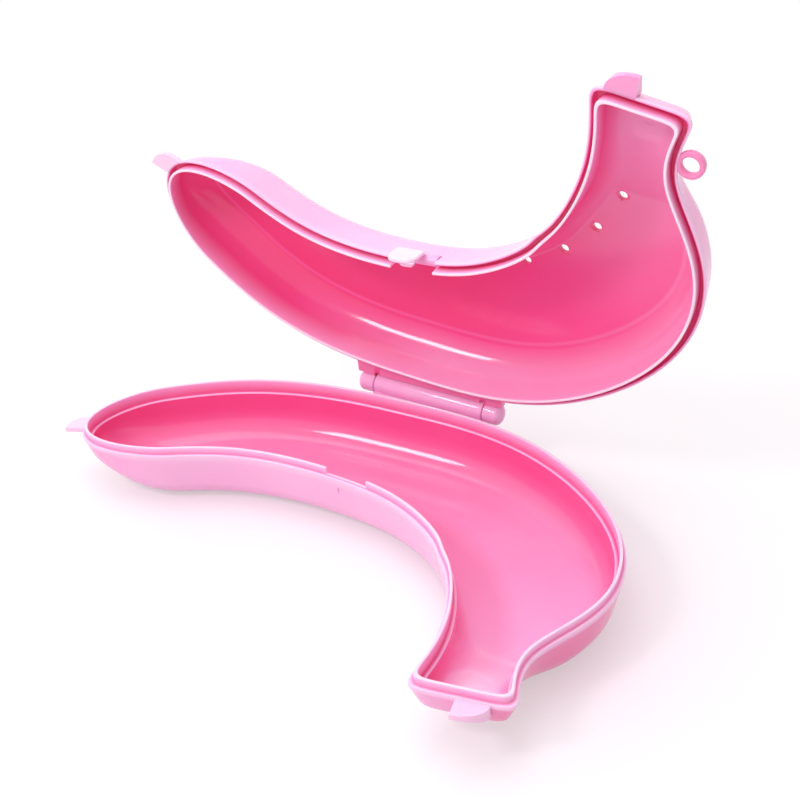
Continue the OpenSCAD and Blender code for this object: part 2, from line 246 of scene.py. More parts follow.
@dataclass(frozen=True)
class DrawnSteel:
    """Drawn steel wire, bright with fine lines along its length.

    It gives the eye a narrow bright line with darker edges. The lines are coarser than real ones, to show.
    """

    name: str = "drawn_steel_wire"
    colour: str = "#C9CCD0"
    line_mm: float = 0.25
    stretch: tuple[float, float, float] = (0.05, 1.0, 1.0)
    roughness: tuple[float, float] = (0.22, 0.38)

    def build(self) -> bpy.types.Material:
        """Build the node material.

        Returns:
            The finished material.
        """
        material, tree, output = new_material(self.name)
        place = add_node(tree, "ShaderNodeTexCoord").outputs["Object"]
        along = add_node(tree, "ShaderNodeMapping", {"Scale": self.stretch}, {"Vector": place})
        fine = {"Scale": 1 / (self.line_mm * MM), "Detail": 2.0}
        lines = add_node(tree, "ShaderNodeTexNoise", fine, {"Vector": along.outputs["Vector"]})
        low, high = self.roughness
        span = {"To Min": low, "To Max": high}
        polish = add_node(tree, "ShaderNodeMapRange", span, {"Value": lines.outputs["Fac"]})
        look = {"Base Color": linear(self.colour), "Metallic": 1.0}
        steel = add_node(tree, "ShaderNodeBsdfPrincipled", look, {"Roughness": polish.outputs["Result"]})
        tree.links.new(steel.outputs["BSDF"], output.inputs["Surface"])
        return material


def mesh_object(name: str, points: Array, faces: Faces, tone: float | Array = PLAIN_PAINTED_LIGHT) -> bpy.types.Object:
    """Make a closed, smooth-shaded mesh object from points in millimetres.

    Args:
        name: Name of the object.
        points: Points, one row each, in millimetres.
        faces: Faces as tuples of point numbers.
        tone: Painted light and shade, as how pale the finish is at each point, or everywhere.

    Returns:
        The object, at the origin, with coinciding points merged and faces turned outwards.
    """
    mesh = bpy.data.meshes.new(name)
    mesh.from_pydata(np.asarray(points, float) * MM, [], faces)
    # Paint light and shade on the points as paleness, one value for all or one for each.
    values = np.broadcast_to(np.asarray(tone, np.float32), len(points))
    mesh.attributes.new("tone", "FLOAT", "POINT").data.foreach_set("value", np.ascontiguousarray(values))
    work = bmesh.new()
    work.from_mesh(mesh)
    bmesh.ops.remove_doubles(work, verts=work.verts, dist=MERGE_MM * MM)
    bmesh.ops.dissolve_degenerate(work, edges=work.edges, dist=MERGE_MM * MM)
    bmesh.ops.recalc_face_normals(work, faces=work.faces)
    work.to_mesh(mesh)
    work.free()
    mesh.shade_smooth()
    mesh.set_sharp_from_angle(angle=np.radians(SHARP_DEG))
    made = bpy.data.objects.new(name, mesh)
    bpy.context.scene.collection.objects.link(made)
    return made


def grid_quads(numbers: Array) -> Faces:
    """List the quads between neighbouring rows and columns of a grid of point numbers."""
    corners = [numbers[:-1, :-1], numbers[:-1, 1:], numbers[1:, 1:], numbers[1:, :-1]]
    return [tuple(quad) for quad in np.stack(corners, -1).reshape(-1, 4).tolist()]


def wrap_faces(count: int, across: int, loop: bool) -> Faces:
    """List the quads of a grid of points that is closed across.

    Args:
        count: Number of rings.
        across: Number of points in each ring.
        loop: Whether the last ring joins the first.

    Returns:
        Faces as tuples of point numbers, ring after ring.
    """
    numbers = np.arange(count * across).reshape(count, across)
    numbers = np.hstack([numbers, numbers[:, :1]])
    return grid_quads(np.vstack([numbers, numbers[:1]]) if loop else numbers)


def prism_faces(count: int, across: int) -> Faces:
    """List the faces of a number of sections, each with so many points across, and close the two ends."""
    ends = [tuple(range(across)), tuple(range((count - 1) * across, count * across))]
    return wrap_faces(count, across, False) + ends


def swept(name: str, sections: Array, tone: float = PLAIN_PAINTED_LIGHT) -> bpy.types.Object:
    """Make a prism from sections, given as points by section, place in the section and coordinate."""
    return mesh_object(name, sections.reshape(-1, 3), prism_faces(*sections.shape[:2]), tone)


def spin(profile: Array, turns: int) -> Array:
    """Turn a profile about the X axis: its radius times the cosine and the sine of each turn.

    Args:
        profile: Distance along the axis and radius of each profile point.
        turns: Number of points round the axis.

    Returns:
        Points by profile point, turn and coordinate.
    """
    turn = np.linspace(0, 2 * np.pi, turns, endpoint=False)
    along = profile[:, :1] * np.ones_like(turn)
    return np.stack([along, profile[:, 1:] * np.cos(turn), profile[:, 1:] * np.sin(turn)], -1)


def line(x: float | Array, y: float | Array, z: float | Array) -> Array:
    """Join coordinates, each a number or a whole array, into points."""
    return np.stack(np.broadcast_arrays(x, y, z), -1)


def leftwards(heading: Array) -> Array:
    """Return plan directions turned a quarter to the left."""
    return np.stack([-heading[..., 1], heading[..., 0]], -1)


def smooth_step(share: Array) -> Array:
    """Ease a share so that it leaves 0 and meets 1 level: three squares less two cubes."""
    share = np.clip(share, 0, 1)
    return share**2 * (3 - 2 * share)


def soften(piece: bpy.types.Object, width_mm: float, segments: int = 3) -> None:
    """Round the sharp edges of a piece with a bevel.

    Args:
        piece: Object to round.
        width_mm: Width of the rounding in millimetres.
        segments: Steps round each edge.
    """
    bevel = piece.modifiers.new("edge_round", "BEVEL")
    bevel.width = width_mm * MM
    bevel.segments = segments
    bevel.limit_method = "ANGLE"
    bevel.angle_limit = np.radians(SHARP_DEG)
    bevel.use_clamp_overlap = True


def drill(piece: bpy.types.Object, rings: Array) -> None:
    """Cut round holes through a piece.

    Args:
        piece: Object that is changed.
        rings: Two rings of points for each hole, in millimetres: hole, end, point, coordinate.
    """
    holes, ends, turns, _ = rings.shape
    size = ends * turns
    faces = [tuple(i + n * size for i in face) for n in range(holes) for face in prism_faces(ends, turns)]
    bit = mesh_object("drill", rings.reshape(-1, 3), faces)
    cut = piece.modifiers.new("holes", "BOOLEAN")
    cut.object = bit
    cut.operation = "DIFFERENCE"
    cut.solver = "EXACT"
    carved = bpy.data.meshes.new_from_object(piece.evaluated_get(bpy.context.evaluated_depsgraph_get()))
    piece.modifiers.clear()
    piece.data = carved
    carved.set_sharp_from_angle(angle=np.radians(SHARP_DEG))
    bpy.data.objects.remove(bit)


def bores(middles: Array, radius: float, heights: tuple[float, float], turns: int = 40) -> Array:
    """Lay out upright drill rings: a circle about each plan point, at two heights.

    Args:
        middles: Plan point of each hole.
        radius: Radius of the holes.
        heights: Lower and upper end of the drills.
        turns: Number of points round each hole.

    Returns:
        Points by hole, end, turn and coordinate.
    """
    turn = np.linspace(0, 2 * np.pi, turns, endpoint=False)
    circle = radius * np.stack([np.cos(turn), np.sin(turn)], -1)
    plan = middles[:, None, None] + circle
    return line(plan[..., 0], plan[..., 1], np.array(heights)[None, :, None])


def fillet_path(corners: Array, radii: Array, steps: int = 5) -> Array:
    """Round the inner corners of an open path.

    Each corner is left at its radius along both legs, at most half way, and crossed on a parabola that is
    tangent to them.

    Args:
        corners: Path points, one row each.
        radii: Distance along the legs at which each inner corner is left.
        steps: Points on each rounded corner.

    Returns:
        The rounded path with its two end points.
    """
    before, corner, after = corners[:-2], corners[1:-1], corners[2:]
    leg = np.asarray(radii, float)[:, None]
    leave, join = (
        corner + way * np.minimum(leg / np.linalg.norm(way, axis=1, keepdims=True), 0.5)
        for way in (before - corner, after - corner)
    )
    s = np.linspace(0, 1, steps)[None, :, None]
    arc = (1 - s) ** 2 * leave[:, None] + 2 * s * (1 - s) * corner[:, None] + s**2 * join[:, None]
    return np.vstack([corners[:1], arc.reshape(-1, 2), corners[-1:]])


@dataclass(frozen=True)
class Rows:
    """Rows of the loft from tip to stem, or its columns all round, with one value each in every field."""

    side: Array
    start: Array
    rate: Array
    end_share: Array
    width_share: Array
    end_length: Array
    zone: Array

    def all_round(self) -> "Rows":
        """Carry the rows round the outline.

        Returns:
            The columns: all rows along the hinge side, then the inner ones back along the latch side.
        """
        count = len(self.start)
        order = np.concatenate([np.arange(count), np.arange(count - 2, 0, -1)])
        columns = {entry.name: getattr(self, entry.name)[order] for entry in fields(self)}
        columns["side"] = np.where(np.arange(len(order)) < count, 1.0, -1.0)
        return Rows(**columns)

    def along(self, inward: float | Array) -> Array:
        """Return the place on the spine of each row, drawn in by a distance."""
        return self.start + self.rate * self.end_share * (self.end_length - inward)

    def by_side(self, hinge: float, latch: float) -> Array:
        """Return a value for each row, which passes from one side's to the other's round the ends."""
        return (hinge + latch) / 2 + self.side * self.width_share * (hinge - latch) / 2


@dataclass(frozen=True)
class Outline:
    """Plan of the case: a spine that carries a width, a rounded tip and a squared stem end."""

    controls: tuple[tuple[float, float, float], ...] = (
        (-102.0, -43.0, 39.0),
        (-57.0, -2.0, 52.0),
        (-3.0, 2.0, 52.0),
        (34.0, 0.0, 60.0),
        (67.0, -20.0, 60.0),
        (78.0, -44.0, 60.0),
        (76.0, -75.0, 22.0),
        (80.5, -98.5, 34.0),
    )
    tip_round: float = 32.0
    stem_round: float = 14.0
    tip_power: float = 2.0
    stem_power: float = 7.0

    @property
    def last(self) -> int:
        """Return the number of spans of the spine."""
        return len(self.controls) - 1

    @property
    def chords(self) -> tuple[float, float]:
        """Return the lengths of the first and the last leg between control points."""
        leg = np.linalg.norm(np.diff(np.array(self.controls)[:, :2], axis=0), axis=1)
        return float(leg[0]), float(leg[-1])

    @property
    def body_span(self) -> tuple[float, float]:
        """Return the places on the spine where the two rounded ends begin."""
        tip, stem = self.chords
        return self.tip_round / tip, self.last - self.stem_round / stem

    def at(self, t: Array) -> tuple[Array, Array, Array]:
        """Evaluate the spine, a uniform cubic B-spline with one control mirrored past each end.

        Args:
            t: Places along the spine, counted in control points.

        Returns:
            Plan points, half widths and unit headings.
        """
        control = np.array(self.controls) * (1, 1, 0.5)
        padded = np.vstack([2 * control[0] - control[1], control, 2 * control[-1] - control[-2]])
        span = np.clip(np.floor(t).astype(int), 0, self.last - 1)
        u = t - span
        weight = [(1 - u) ** 3, 3 * u**3 - 6 * u**2 + 4, -3 * u**3 + 3 * u**2 + 3 * u + 1, u**3]
        slope = [-((1 - u) ** 2), 3 * u**2 - 4 * u, -3 * u**2 + 2 * u + 1, u**2]
        near = padded[span[..., None] + np.arange(4)]
        place = (np.stack(weight, -1)[..., None] / 6 * near).sum(-2)
        run = (np.stack(slope, -1)[..., None] / 2 * near).sum(-2)[..., :2]
        return place[..., :2], place[..., 2], run / np.linalg.norm(run, axis=-1, keepdims=True)

    def edge(self, t: float | Array, side: Side, inward: float) -> Array:
        """Return plan points on one side: spine points moved across by the half width less a distance."""
        place, half, heading = self.at(np.asarray(t, float))
        return place + side.value * leftwards(heading) * (half - inward)[..., None]

    def end_rows(self, end: End, steps: int) -> Array:
        """Lay out one end as points of a superellipse at even polar angles.

        Args:
            end: The tip or the stem end.
            steps: Number of points.

        Returns:
            The shares of the end's length and of the width, from tip to stem.
        """
        power = self.tip_power if end is End.TIP else self.stem_power
        angle = np.linspace(0, np.pi / 2, steps)
        reach = (np.cos(angle) ** power + np.sin(angle) ** power) ** (-1 / power)
        share = np.stack([np.cos(angle) * reach, np.sin(angle) * reach])
        share[np.abs(share) < 1e-9] = 0
        return share if end is End.TIP else share[:, ::-1]

    def rows(self, breaks: Array, end_n: int = 30, body_n: int = 170, least_n: int = 3) -> Rows:
        """Lay out the rows of the loft, with two rows at each break so that the section can change there.

        Args:
            breaks: Places on the spine where a new zone starts, in order.
            end_n: Rows round each end.
            body_n: Rows along the body, about.
            least_n: Rows in the shortest zone.

        Returns:
            The rows, with the zone number of each.
        """
        low, high = self.body_span
        tip_chord, stem_chord = self.chords
        edges = np.concatenate([[low], breaks, [high]])
        counts = np.maximum(np.ceil(np.diff(edges) / (high - low) * body_n).astype(int), least_n)
        body = np.concatenate([np.linspace(a, b, n) for a, b, n in zip(edges[:-1], edges[1:], counts)])
        zone = np.repeat(np.arange(len(counts)), counts)
        tip, stem = (self.end_rows(end, end_n) for end in End)

        def joined(*values: float | Array) -> Array:
            """Join values at the tip, on the body and at the stem, each a number or a whole array."""
            return np.concatenate([np.broadcast_to(v, n) for v, n in zip(values, (end_n, len(body), end_n))])

        return Rows(
            side=joined(1.0, 1.0, 1.0),
            start=joined(low, body, high),
            rate=joined(-1 / tip_chord, 0.0, 1 / stem_chord),
            end_share=joined(tip[0], 0.0, stem[0]),
            width_share=joined(tip[1], 1.0, stem[1]),
            end_length=joined(self.tip_round, 0.0, self.stem_round),
            zone=joined(0, zone, len(counts) - 1),
        )


@dataclass(frozen=True)
class Fits:
    """Sizes that the two halves and their fittings share."""

    parting: float = 21.0
    clearance: float = 0.3
    shoulder: float = 1.2
    tongue: float = 1.0
    tongue_h: float = 2.6
    lip: float = 1.0
    ledge: float = 2.2
    rim_band: float = 3.8
    wall: float = 1.9
    hinge_t: float = 2.135
    latch_t: float = 2.105
    pin_reach: float = 6.5
    pin_lift: float = 1.5
    open_deg: float = 82.5
    notch_w: float = 16.5
    outline: Outline = field(default_factory=Outline)

    @property
    def rim_w(self) -> float:
        """Return the width of the whole rim."""
        return self.shoulder + self.tongue + self.clearance + self.lip

    @property
    def draft(self) -> float:
        """Return how far the wall leans in below the rim."""
        return self.rim_w - self.wall

    @property
    def hinge(self) -> Array:
        """Return the middle of the hinge pin's axis, which runs along X."""
        x, y = self.outline.edge(self.hinge_t, Side.HINGE, 0.0)
        return np.array([x, y + self.pin_reach, self.parting + self.pin_lift])

    def opened(self, points: Array) -> Array:
        """Turn points of the closed lid about the hinge pin to where the open lid has them.

        Args:
            points: Points as the closed lid has them.

        Returns:
            The turned points.
        """
        _, hinge_y, hinge_z = self.hinge
        y, z = points[..., 1] - hinge_y, points[..., 2] - hinge_z
        c, s = np.cos(np.radians(self.open_deg)), np.sin(np.radians(self.open_deg))
        return np.stack([points[..., 0], hinge_y + c * y + s * z, hinge_z - s * y + c * z], -1)

    def seated(self, points: Array, lid: bool) -> Array:
        """Return points of the closed case where they stand at rest, turned if they are the lid's."""
        return self.opened(points) if lid else points

    def latch_frame(self, nudge: float = 0.01) -> tuple[Array, Array, Array]:
        """Find the latch on the outline.

        Args:
            nudge: Distance along the spine over which the direction is taken.

        Returns:
            The latch's plan point, its direction along the rim and the way inwards.
        """
        before, place, after = self.outline.edge(self.latch_t + np.array([-nudge, 0, nudge]), Side.LATCH, 0.0)
        along = (after - before) / np.linalg.norm(after - before)
        return place, along, leftwards(along)

    def at_latch(self, local: Array) -> Array:
        """Place points that are given from the latch.

        Args:
            local: Distances along the rim, inwards and up from the parting plane.

        Returns:
            The points in the closed case.
        """
        place, along, inwards = self.latch_frame()
        plan = place + local[..., :1] * along + local[..., 1:2] * inwards
        return np.concatenate([plan, self.parting + local[..., 2:3]], -1)

    def latch_breaks(self, marks: Array, reach: float = 0.6, samples: int = 2401) -> Array:
        """Find the places on the spine where the latch side is at given distances from the latch.

        Args:
            marks: Distances along the rim from the latch.
            reach: How far along the spine to look, both ways.
            samples: Number of places that are looked at.

        Returns:
            Places along the spine.
        """
        place, along, _ = self.latch_frame()
        t = np.linspace(self.latch_t - reach, self.latch_t + reach, samples)
        run = (self.outline.edge(t, Side.LATCH, 0.0) - place) @ along
        return np.interp(marks, run, t)


@dataclass(frozen=True)
class SubAssembly:
    """Pieces that share the case's fits, and the way to dress them."""

    fits: Fits

    def dress(
        self, pieces: list[bpy.types.Object], body: Body, slot: str, finish: bpy.types.Material
    ) -> list[bpy.types.Object]:
        """Give pieces their finish and let them ride on their body.

        Args:
            pieces: Objects to dress.
            body: Body that carries them.
            slot: The record's material slot; not used.
            finish: Material.

        Returns:
            The dressed pieces.
        """
        for piece in pieces:
            piece.data.materials.clear()
            piece.data.materials.append(finish)
            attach(piece, body.value)
        return pieces


@dataclass(frozen=True)
class ShellPaintedLight:
    """Painted light and shade over a half: how pale each place is drawn, from 0 to 1, in pairs for the hinge
    side and the latch side. Pale stands for lit places and painted highlights, deep for painted shade.

    Stem is the painted light that the floor gains towards the stem end. Hold says how long the corner keeps
    the wall's paleness, on the body and at the stem end. Brink is a faint painted highlight line where the
    floor begins, which ends in the stem.
    """

    # Outer walls: painted shade on the hinge side, painted light on the latch side.
    outer: tuple[float, float] = (0.36, 0.74)
    # Rim: painted highlights on its outer edge and crest, painted shade down in the groove.
    edge: float = 0.82
    rim: float = 0.5
    crest: float = 0.9
    groove: float = 0.05
    # Painted highlight along the base's ledge.
    ledge: float = 0.75
    # Painted shade on the hollow's walls, hinge side and latch side; paler where a wall faces the light.
    wall: tuple[float, float] = (0.12, 0.12)
    wall_from: float = 1.0
    # Floor: painted shade, with painted light gained towards the stem end.
    floor: float = 0.42
    stem: float = 0.5
    stem_power: float = 1.3
    hold: tuple[float, float] = (1.5, 1.5)
    # Faint painted highlight line where the floor begins.
    brink: float = 0.0
    brink_end: float = 0.75
    brink_fade: float = 0.3


# The lid's painted light and shade: paler outside, a whiter lip and a deep floor.
LID_PAINTED_LIGHT = ShellPaintedLight(
    outer=(0.64, 0.76), crest=1.0, wall=(0.62, 0.1), floor=0.02, stem=0.72, hold=(2.4, 0.7), brink=0.2
)


@dataclass(frozen=True)
class HalfShell(SubAssembly):
    """One moulded half: a section with floor corner, leaning wall and rim, carried round the outline.

    Rises and the flat are counted along the spine, and bands are distances over which the painted light
    and shade of the rim change.
    """

    lid: bool
    tones: ShellPaintedLight = ShellPaintedLight()
    half_depth: float = 21.0
    tip_depth: float = 10.5
    stem_depth: float = 13.5
    tip_rise: float = 0.6
    stem_rise: float = 1.7
    stem_flat: float = 0.6
    hinge_side_r: float = 13.0
    latch_side_r: float = 9.5
    floor_share: float = 0.7
    lean_min: float = 1.0
    lean_first: float = 0.25
    rim_run: float = 1.0
    base_eases: tuple[float, ...] = (0.45, 0.15, 0.35, 0.35, 0.15, 0.45)
    lid_eases: tuple[float, ...] = (0.4, 0.25, 0.2, 0.2, 0.35, 0.4)
    face_near: float = 0.1
    crest_band: float = 0.5
    ledge_band: float = 0.4
    notch_h: float = 6.4
    slot_w: float = 6.6
    slot_x: float = 0.05
    slot_in: float = 0.9
    slot_depths: tuple[float, float] = (6.3, 3.6)
    vent_d: float = 3.3
    vent_arc_r: float = 66.0
    vent_middle: tuple[float, float] = (8.5, -83.7)
    vent_angles: tuple[float, ...] = (68.0, 54.0, 40.0, 26.0)
    vent_heights: tuple[float, float] = (0.5, 1.3)
    arc_n: int = 16
    lean_n: int = 5
    floor_n: int = 14

    def depth(self, t: Array) -> Array:
        """Work out the depth of the half along the spine.

        It is full along the body, rises as a square to the tip, and eases up to a level floor at the stem.

        Args:
            t: Places along the spine.

        Returns:
            Depths below the parting plane.
        """
        tip = np.maximum(1 - t / self.tip_rise, 0) ** 2
        from_end = self.fits.outline.last - t
        stem = smooth_step((self.stem_rise - from_end) / (self.stem_rise - self.stem_flat))
        tip_loss, stem_loss = self.half_depth - self.tip_depth, self.half_depth - self.stem_depth
        return self.half_depth - tip_loss * tip - stem_loss * stem

    def rim(self) -> Array:
        """Draw the rim's section, inwards and down from the parting plane, from outside to inside.

        Returns:
            The base's shoulder, tongue and ledge, or the lid's edge, groove and lip, with eased edges.
        """
        f, run = self.fits, self.rim_run
        tongue_in = f.shoulder + f.tongue
        if not self.lid:
            corners = [
                (0, run),
                (0, 0),
                (f.shoulder, 0),
                (f.shoulder, -f.tongue_h),
                (tongue_in, -f.tongue_h),
                (tongue_in, f.ledge),
                (f.rim_w, f.ledge),
                (f.rim_w, f.ledge + run),
            ]
            return fillet_path(np.array(corners, float), np.array(self.base_eases))
        gap = f.clearance
        edge_in, lip_in = f.shoulder - gap, tongue_in + gap
        groove, drop = f.tongue_h + gap, f.ledge - gap
        corners = [
            (0, run),
            (0, gap),
            (edge_in, gap),
            (edge_in, groove),
            (lip_in, groove),
            (lip_in, -drop),
            (f.rim_w, -drop),
            (f.rim_w, run - drop),
        ]
        return fillet_path(np.array(corners, float), np.array(self.lid_eases))

    def sections(self, columns: Rows) -> tuple[Array, Array]:
        """Work out the section at every column of the loft.

        The floor corner is a quarter of an ellipse whose radius changes from side to side. The outer wall is
        the tangent from the rim to that ellipse, with points at the slot's heights, and the inner wall runs
        straight down from the rim.

        Args:
            columns: Columns of the loft.

        Returns:
            Distances inwards and depths, one row per section point and one column per loft column.
        """
        f = self.fits
        wide = np.ones_like(columns.side)
        _, half, _ = f.outline.at(columns.along(0.0))
        radius = columns.by_side(self.hinge_side_r, self.latch_side_r)
        reach = np.minimum(radius, self.floor_share * half)
        rim = self.rim()

        def drop_at(d: Array) -> Array:
            """Return the height of the floor corner where the half is d deep."""
            return np.minimum(radius, d - f.rim_band - self.lean_min)

        d0 = self.depth(columns.along(f.draft))
        drop0 = drop_at(d0)
        a_term, b_term = reach * (d0 - drop0 - rim[0, 1]), -drop0 * (f.draft + reach)
        touch = np.arctan2(b_term, a_term) + np.arccos(-reach * drop0 / np.hypot(a_term, b_term))
        outer_a = np.linspace(0, 1, self.arc_n)[:, None] * touch
        outer_in = f.draft + reach * (1 - np.sin(outer_a))
        outer_d = self.depth(columns.along(outer_in))
        outer_z = outer_d - drop_at(outer_d) * (1 - np.cos(outer_a))

        elsewhere = (columns.side > 0) | (columns.rate != 0)
        latch = np.argmin(np.where(elsewhere, np.inf, np.abs(columns.start - f.latch_t)))
        from_touch = (outer_z[-1, latch] - np.repeat(self.slot_depths, 2)) / (outer_z[-1, latch] - rim[0, 1])
        share = np.concatenate([[self.lean_first], from_touch])[:, None]
        lean_in = outer_in[-1] * (1 - share) + rim[0, 0] * share
        lean_z = outer_z[-1] * (1 - share) + rim[0, 1] * share

        inner_a = np.linspace(np.pi / 2, 0, self.arc_n)[:, None]
        inner_in = f.draft + reach - (reach - f.wall) * np.sin(inner_a)
        inner_d = self.depth(columns.along(inner_in))
        inner_drop = drop_at(inner_d)
        inner_z = inner_d - inner_drop + (inner_drop - f.wall) * np.cos(inner_a)

        inward = np.vstack([outer_in, lean_in, rim[:, :1] * wide, inner_in])
        depth = np.vstack([outer_z, lean_z, rim[:, 1:] * wide, inner_z])
        return self.cut_latch(columns, inward, depth)

    def cut_latch(self, columns: Rows, inward: Array, depth: Array) -> tuple[Array, Array]:
        """Open the lid's notch, or the base's tongue and the slot for the hook, in the columns at the latch.

        The notch and the gap are cut by holding the section at a depth. The slot is cut by drawing in the two
        middle points of the four at its heights.

        Args:
            columns: Columns of the loft.
            inward: Distances inwards of the whole section.
            depth: Depths of the whole section.

        Returns:
            Distances inwards and depths with the openings cut.
        """
        touch = self.arc_n - 1
        rim_from, rim_to = self.arc_n + self.lean_n, len(inward) - self.arc_n
        at_latch = columns.side < 0
        gap = at_latch & (columns.zone >= Zone.NOTCH_TIP.value) & (columns.zone <= Zone.NOTCH_STEM.value)
        if self.lid:
            part = slice(touch, rim_to)
            shallow = gap & (depth[part] < self.notch_h)
            share = (depth[touch] - self.notch_h) / (depth[touch] - depth[rim_from])
            face = inward[touch] + (inward[rim_from] - inward[touch]) * share
            inward[part] = np.where(shallow, np.maximum(inward[part], face), inward[part])
            depth[part] = np.where(shallow, self.notch_h, depth[part])
            return inward, depth
        rim = slice(rim_from, rim_to)
        tongue = gap & (inward[rim] > self.fits.shoulder / 2)
        depth[rim] = np.where(tongue, np.maximum(depth[rim], 0), depth[rim])
        slot = slice(rim_from - 3, rim_from - 1)
        inward[slot] = np.where(at_latch & (columns.zone == Zone.SLOT.value), self.slot_in, inward[slot])
        return inward, depth

    def shade(self, columns: Rows, depth: Array) -> Array:
        """Paint light and shade over the section, as how pale the finish is at each point.

        The outside is pale, with painted shade on the hinge side. The edges of the rim and the ledge are
        palest, as painted highlights, and the groove is deep, as painted shade. The rim's paleness rises with
        the square of its height and falls with its depth. In the hollow, painted shade, the paleness passes
        from wall to floor as a power of the cosine round the corner. The hinge side's wall comes in along the
        body, and the floor gains painted light as a power of the way to the stem. A faint painted highlight
        line marks where the floor begins. The notch's faces keep the outside's paleness.

        Args:
            columns: Columns of the loft.
            depth: Depths of the whole section, with the openings cut.

        Returns:
            Painted light and shade, as paleness, one row per section point and one column per loft column.
        """
        f, tone = self.fits, self.tones
        # Painted light on the outer walls, less of it on the hinge side as painted shade.
        outer = columns.by_side(*tone.outer)
        rim_in, rim_z = self.rim().T
        top = f.ledge - f.clearance if self.lid else f.tongue_h
        proud, sunk = np.clip(-rim_z / top, 0, 1), np.clip(rim_z / (f.tongue_h + f.clearance), 0, 1)
        # Painted light on the rim, a painted highlight on its crest and painted shade down in the groove.
        rim = tone.rim + (tone.crest - tone.rim) * proud**2 + (tone.groove - tone.rim) * sunk
        # Painted highlight on the rim's outer edge.
        rim = np.where(rim_in < f.shoulder / 2, tone.edge, rim)
        # The inner face of the lip or ledge takes the hollow's painted shade.
        inner_face = (rim_in > f.rim_w - self.face_near) & (rim_z > self.crest_band - top)
        rim = np.where(inner_face, tone.wall[0], rim)
        # Painted highlight along the ledge.
        ledge = (rim_in > f.rim_w - self.crest_band) & (np.abs(rim_z - f.ledge) < self.ledge_band)
        rim = np.where(ledge, tone.ledge, rim)

        # Painted shade in the hollow; the floor gains painted light towards the stem.
        body = np.clip((columns.start - tone.wall_from) / (f.latch_t - tone.wall_from), 0, 1)
        stem = np.clip((columns.start - f.latch_t) / (f.outline.last - f.latch_t), 0, 1)
        hinge_wall, latch_wall = tone.wall
        wall = latch_wall + (hinge_wall - latch_wall) * body * (columns.side > 0)
        floor = tone.floor + tone.stem * stem**tone.stem_power
        hold = tone.hold[0] + (tone.hold[1] - tone.hold[0]) * stem
        blend = np.cos(np.linspace(np.pi / 2, 0, self.arc_n))[:, None] ** hold
        # Faint painted highlight line where the floor begins, fading out in the stem.
        fade = np.clip((tone.brink_end - stem) / tone.brink_fade, 0, 1)
        brink = np.eye(self.arc_n)[:, -2:-1] * tone.brink * fade
        hollow = wall + (floor - wall) * blend + brink

        outside = np.tile(outer, (self.arc_n + self.lean_n, 1))
        whole = np.vstack([outside, rim[:, None] * np.ones_like(outer), hollow])
        # The notch's faces keep the outside's painted light.
        return np.where(self.lid & (columns.side < 0) & (depth == self.notch_h), outer, whole)

    def ring(self) -> tuple[Array, Array]:
        """Carry the section round the outline, along the hinge side and back along the latch side.

        Returns:
            Points of the closed half by section point and column, and their painted light and shade.
        """
        f, half_slot = self.fits, self.slot_w / 2
        marks = np.array([-f.notch_w / 2, self.slot_x - half_slot, self.slot_x + half_slot, f.notch_w / 2])
        columns = f.outline.rows(f.latch_breaks(marks)).all_round()
        inward, depth = self.sections(columns)
        place, half, heading = f.outline.at(columns.along(inward))
        across = columns.side * (half - inward) * columns.width_share
        plan = place + across[..., None] * leftwards(heading)
        height = f.parting + depth if self.lid else f.parting - depth
        return np.concatenate([plan, height[..., None]], -1), self.shade(columns, depth)

    def loft(self, name: str) -> bpy.types.Object:
        """Loft the half and close its floor.

        Columns run round the outline and section points from the floor's outside over the rim to its inside.
        The two floors are strips of points spaced evenly between the two sides of each row, with a fan at
        each end.

        Args:
            name: Name of the object.

        Returns:
            The half as a closed mesh.
        """
        ring, tone = self.ring()
        levels, around = ring.shape[:2]
        count = around // 2 + 1
        near = np.arange(1, count - 1)
        far = around - near
        share = (np.arange(1, self.floor_n) / self.floor_n)[None, :, None]
        points, tones, faces = [ring.reshape(-1, 3)], [tone.ravel()], wrap_faces(levels, around, False)
        used = levels * around
        for level in (0, levels - 1):
            span = ring[level, near][:, None] * (1 - share) + ring[level, far][:, None] * share
            points.append(span.reshape(-1, 3))
            # Floor points take the painted light and shade of their row's hinge-side point.
            tones.append(np.repeat(tone[level, near], self.floor_n - 1))
            inside = used + np.arange(len(points[-1])).reshape(len(near), -1)
            used += len(points[-1])
            first = level * around
            strip = np.hstack([(first + near)[:, None], inside, (first + far)[:, None]])
            faces += grid_quads(strip)
            for end, row in ((first, strip[0]), (first + count - 1, strip[-1])):
                fan = np.stack([np.full(len(row) - 1, end), row[:-1], row[1:]], -1)
                faces += [tuple(face) for face in fan.tolist()]
        shell = mesh_object(name, self.fits.seated(np.vstack(points), self.lid), faces, np.concatenate(tones))
        if self.lid:
            self.pierce_vents(shell)
        return shell

    def foot(self, step: int = 3) -> Array:
        """Return points half way round the floor's outer corner, at every few columns."""
        points, _ = self.ring()
        return points[self.arc_n // 2, ::step]

    def pierce_vents(self, shell: bpy.types.Object) -> None:
        """Cut the round vents through the lid's floor, along an arc.

        Args:
            shell: The lid, which is changed.
        """
        f = self.fits
        angle = np.radians(self.vent_angles)
        middles = np.array(self.vent_middle) + self.vent_arc_r * np.stack([np.cos(angle), np.sin(angle)], -1)
        low, high = (f.parting + self.half_depth * share for share in self.vent_heights)
        drill(shell, f.opened(bores(middles, self.vent_d / 2, (low, high))))

    def build(self, finish: bpy.types.Material) -> list[bpy.types.Object]:
        """Build and dress the half, which stands for its solid.

        Args:
            finish: The halves' material.

        Returns:
            The half, by itself.
        """
        if self.lid:
            lid = self.loft("lid_half")
            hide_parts("lid_shell")
            return self.dress([lid], Body.LID, "case_plastic", finish)
        base = self.loft("base_half")
        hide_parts("base_shell")
        return self.dress([base], Body.BASE, "case_plastic", finish)


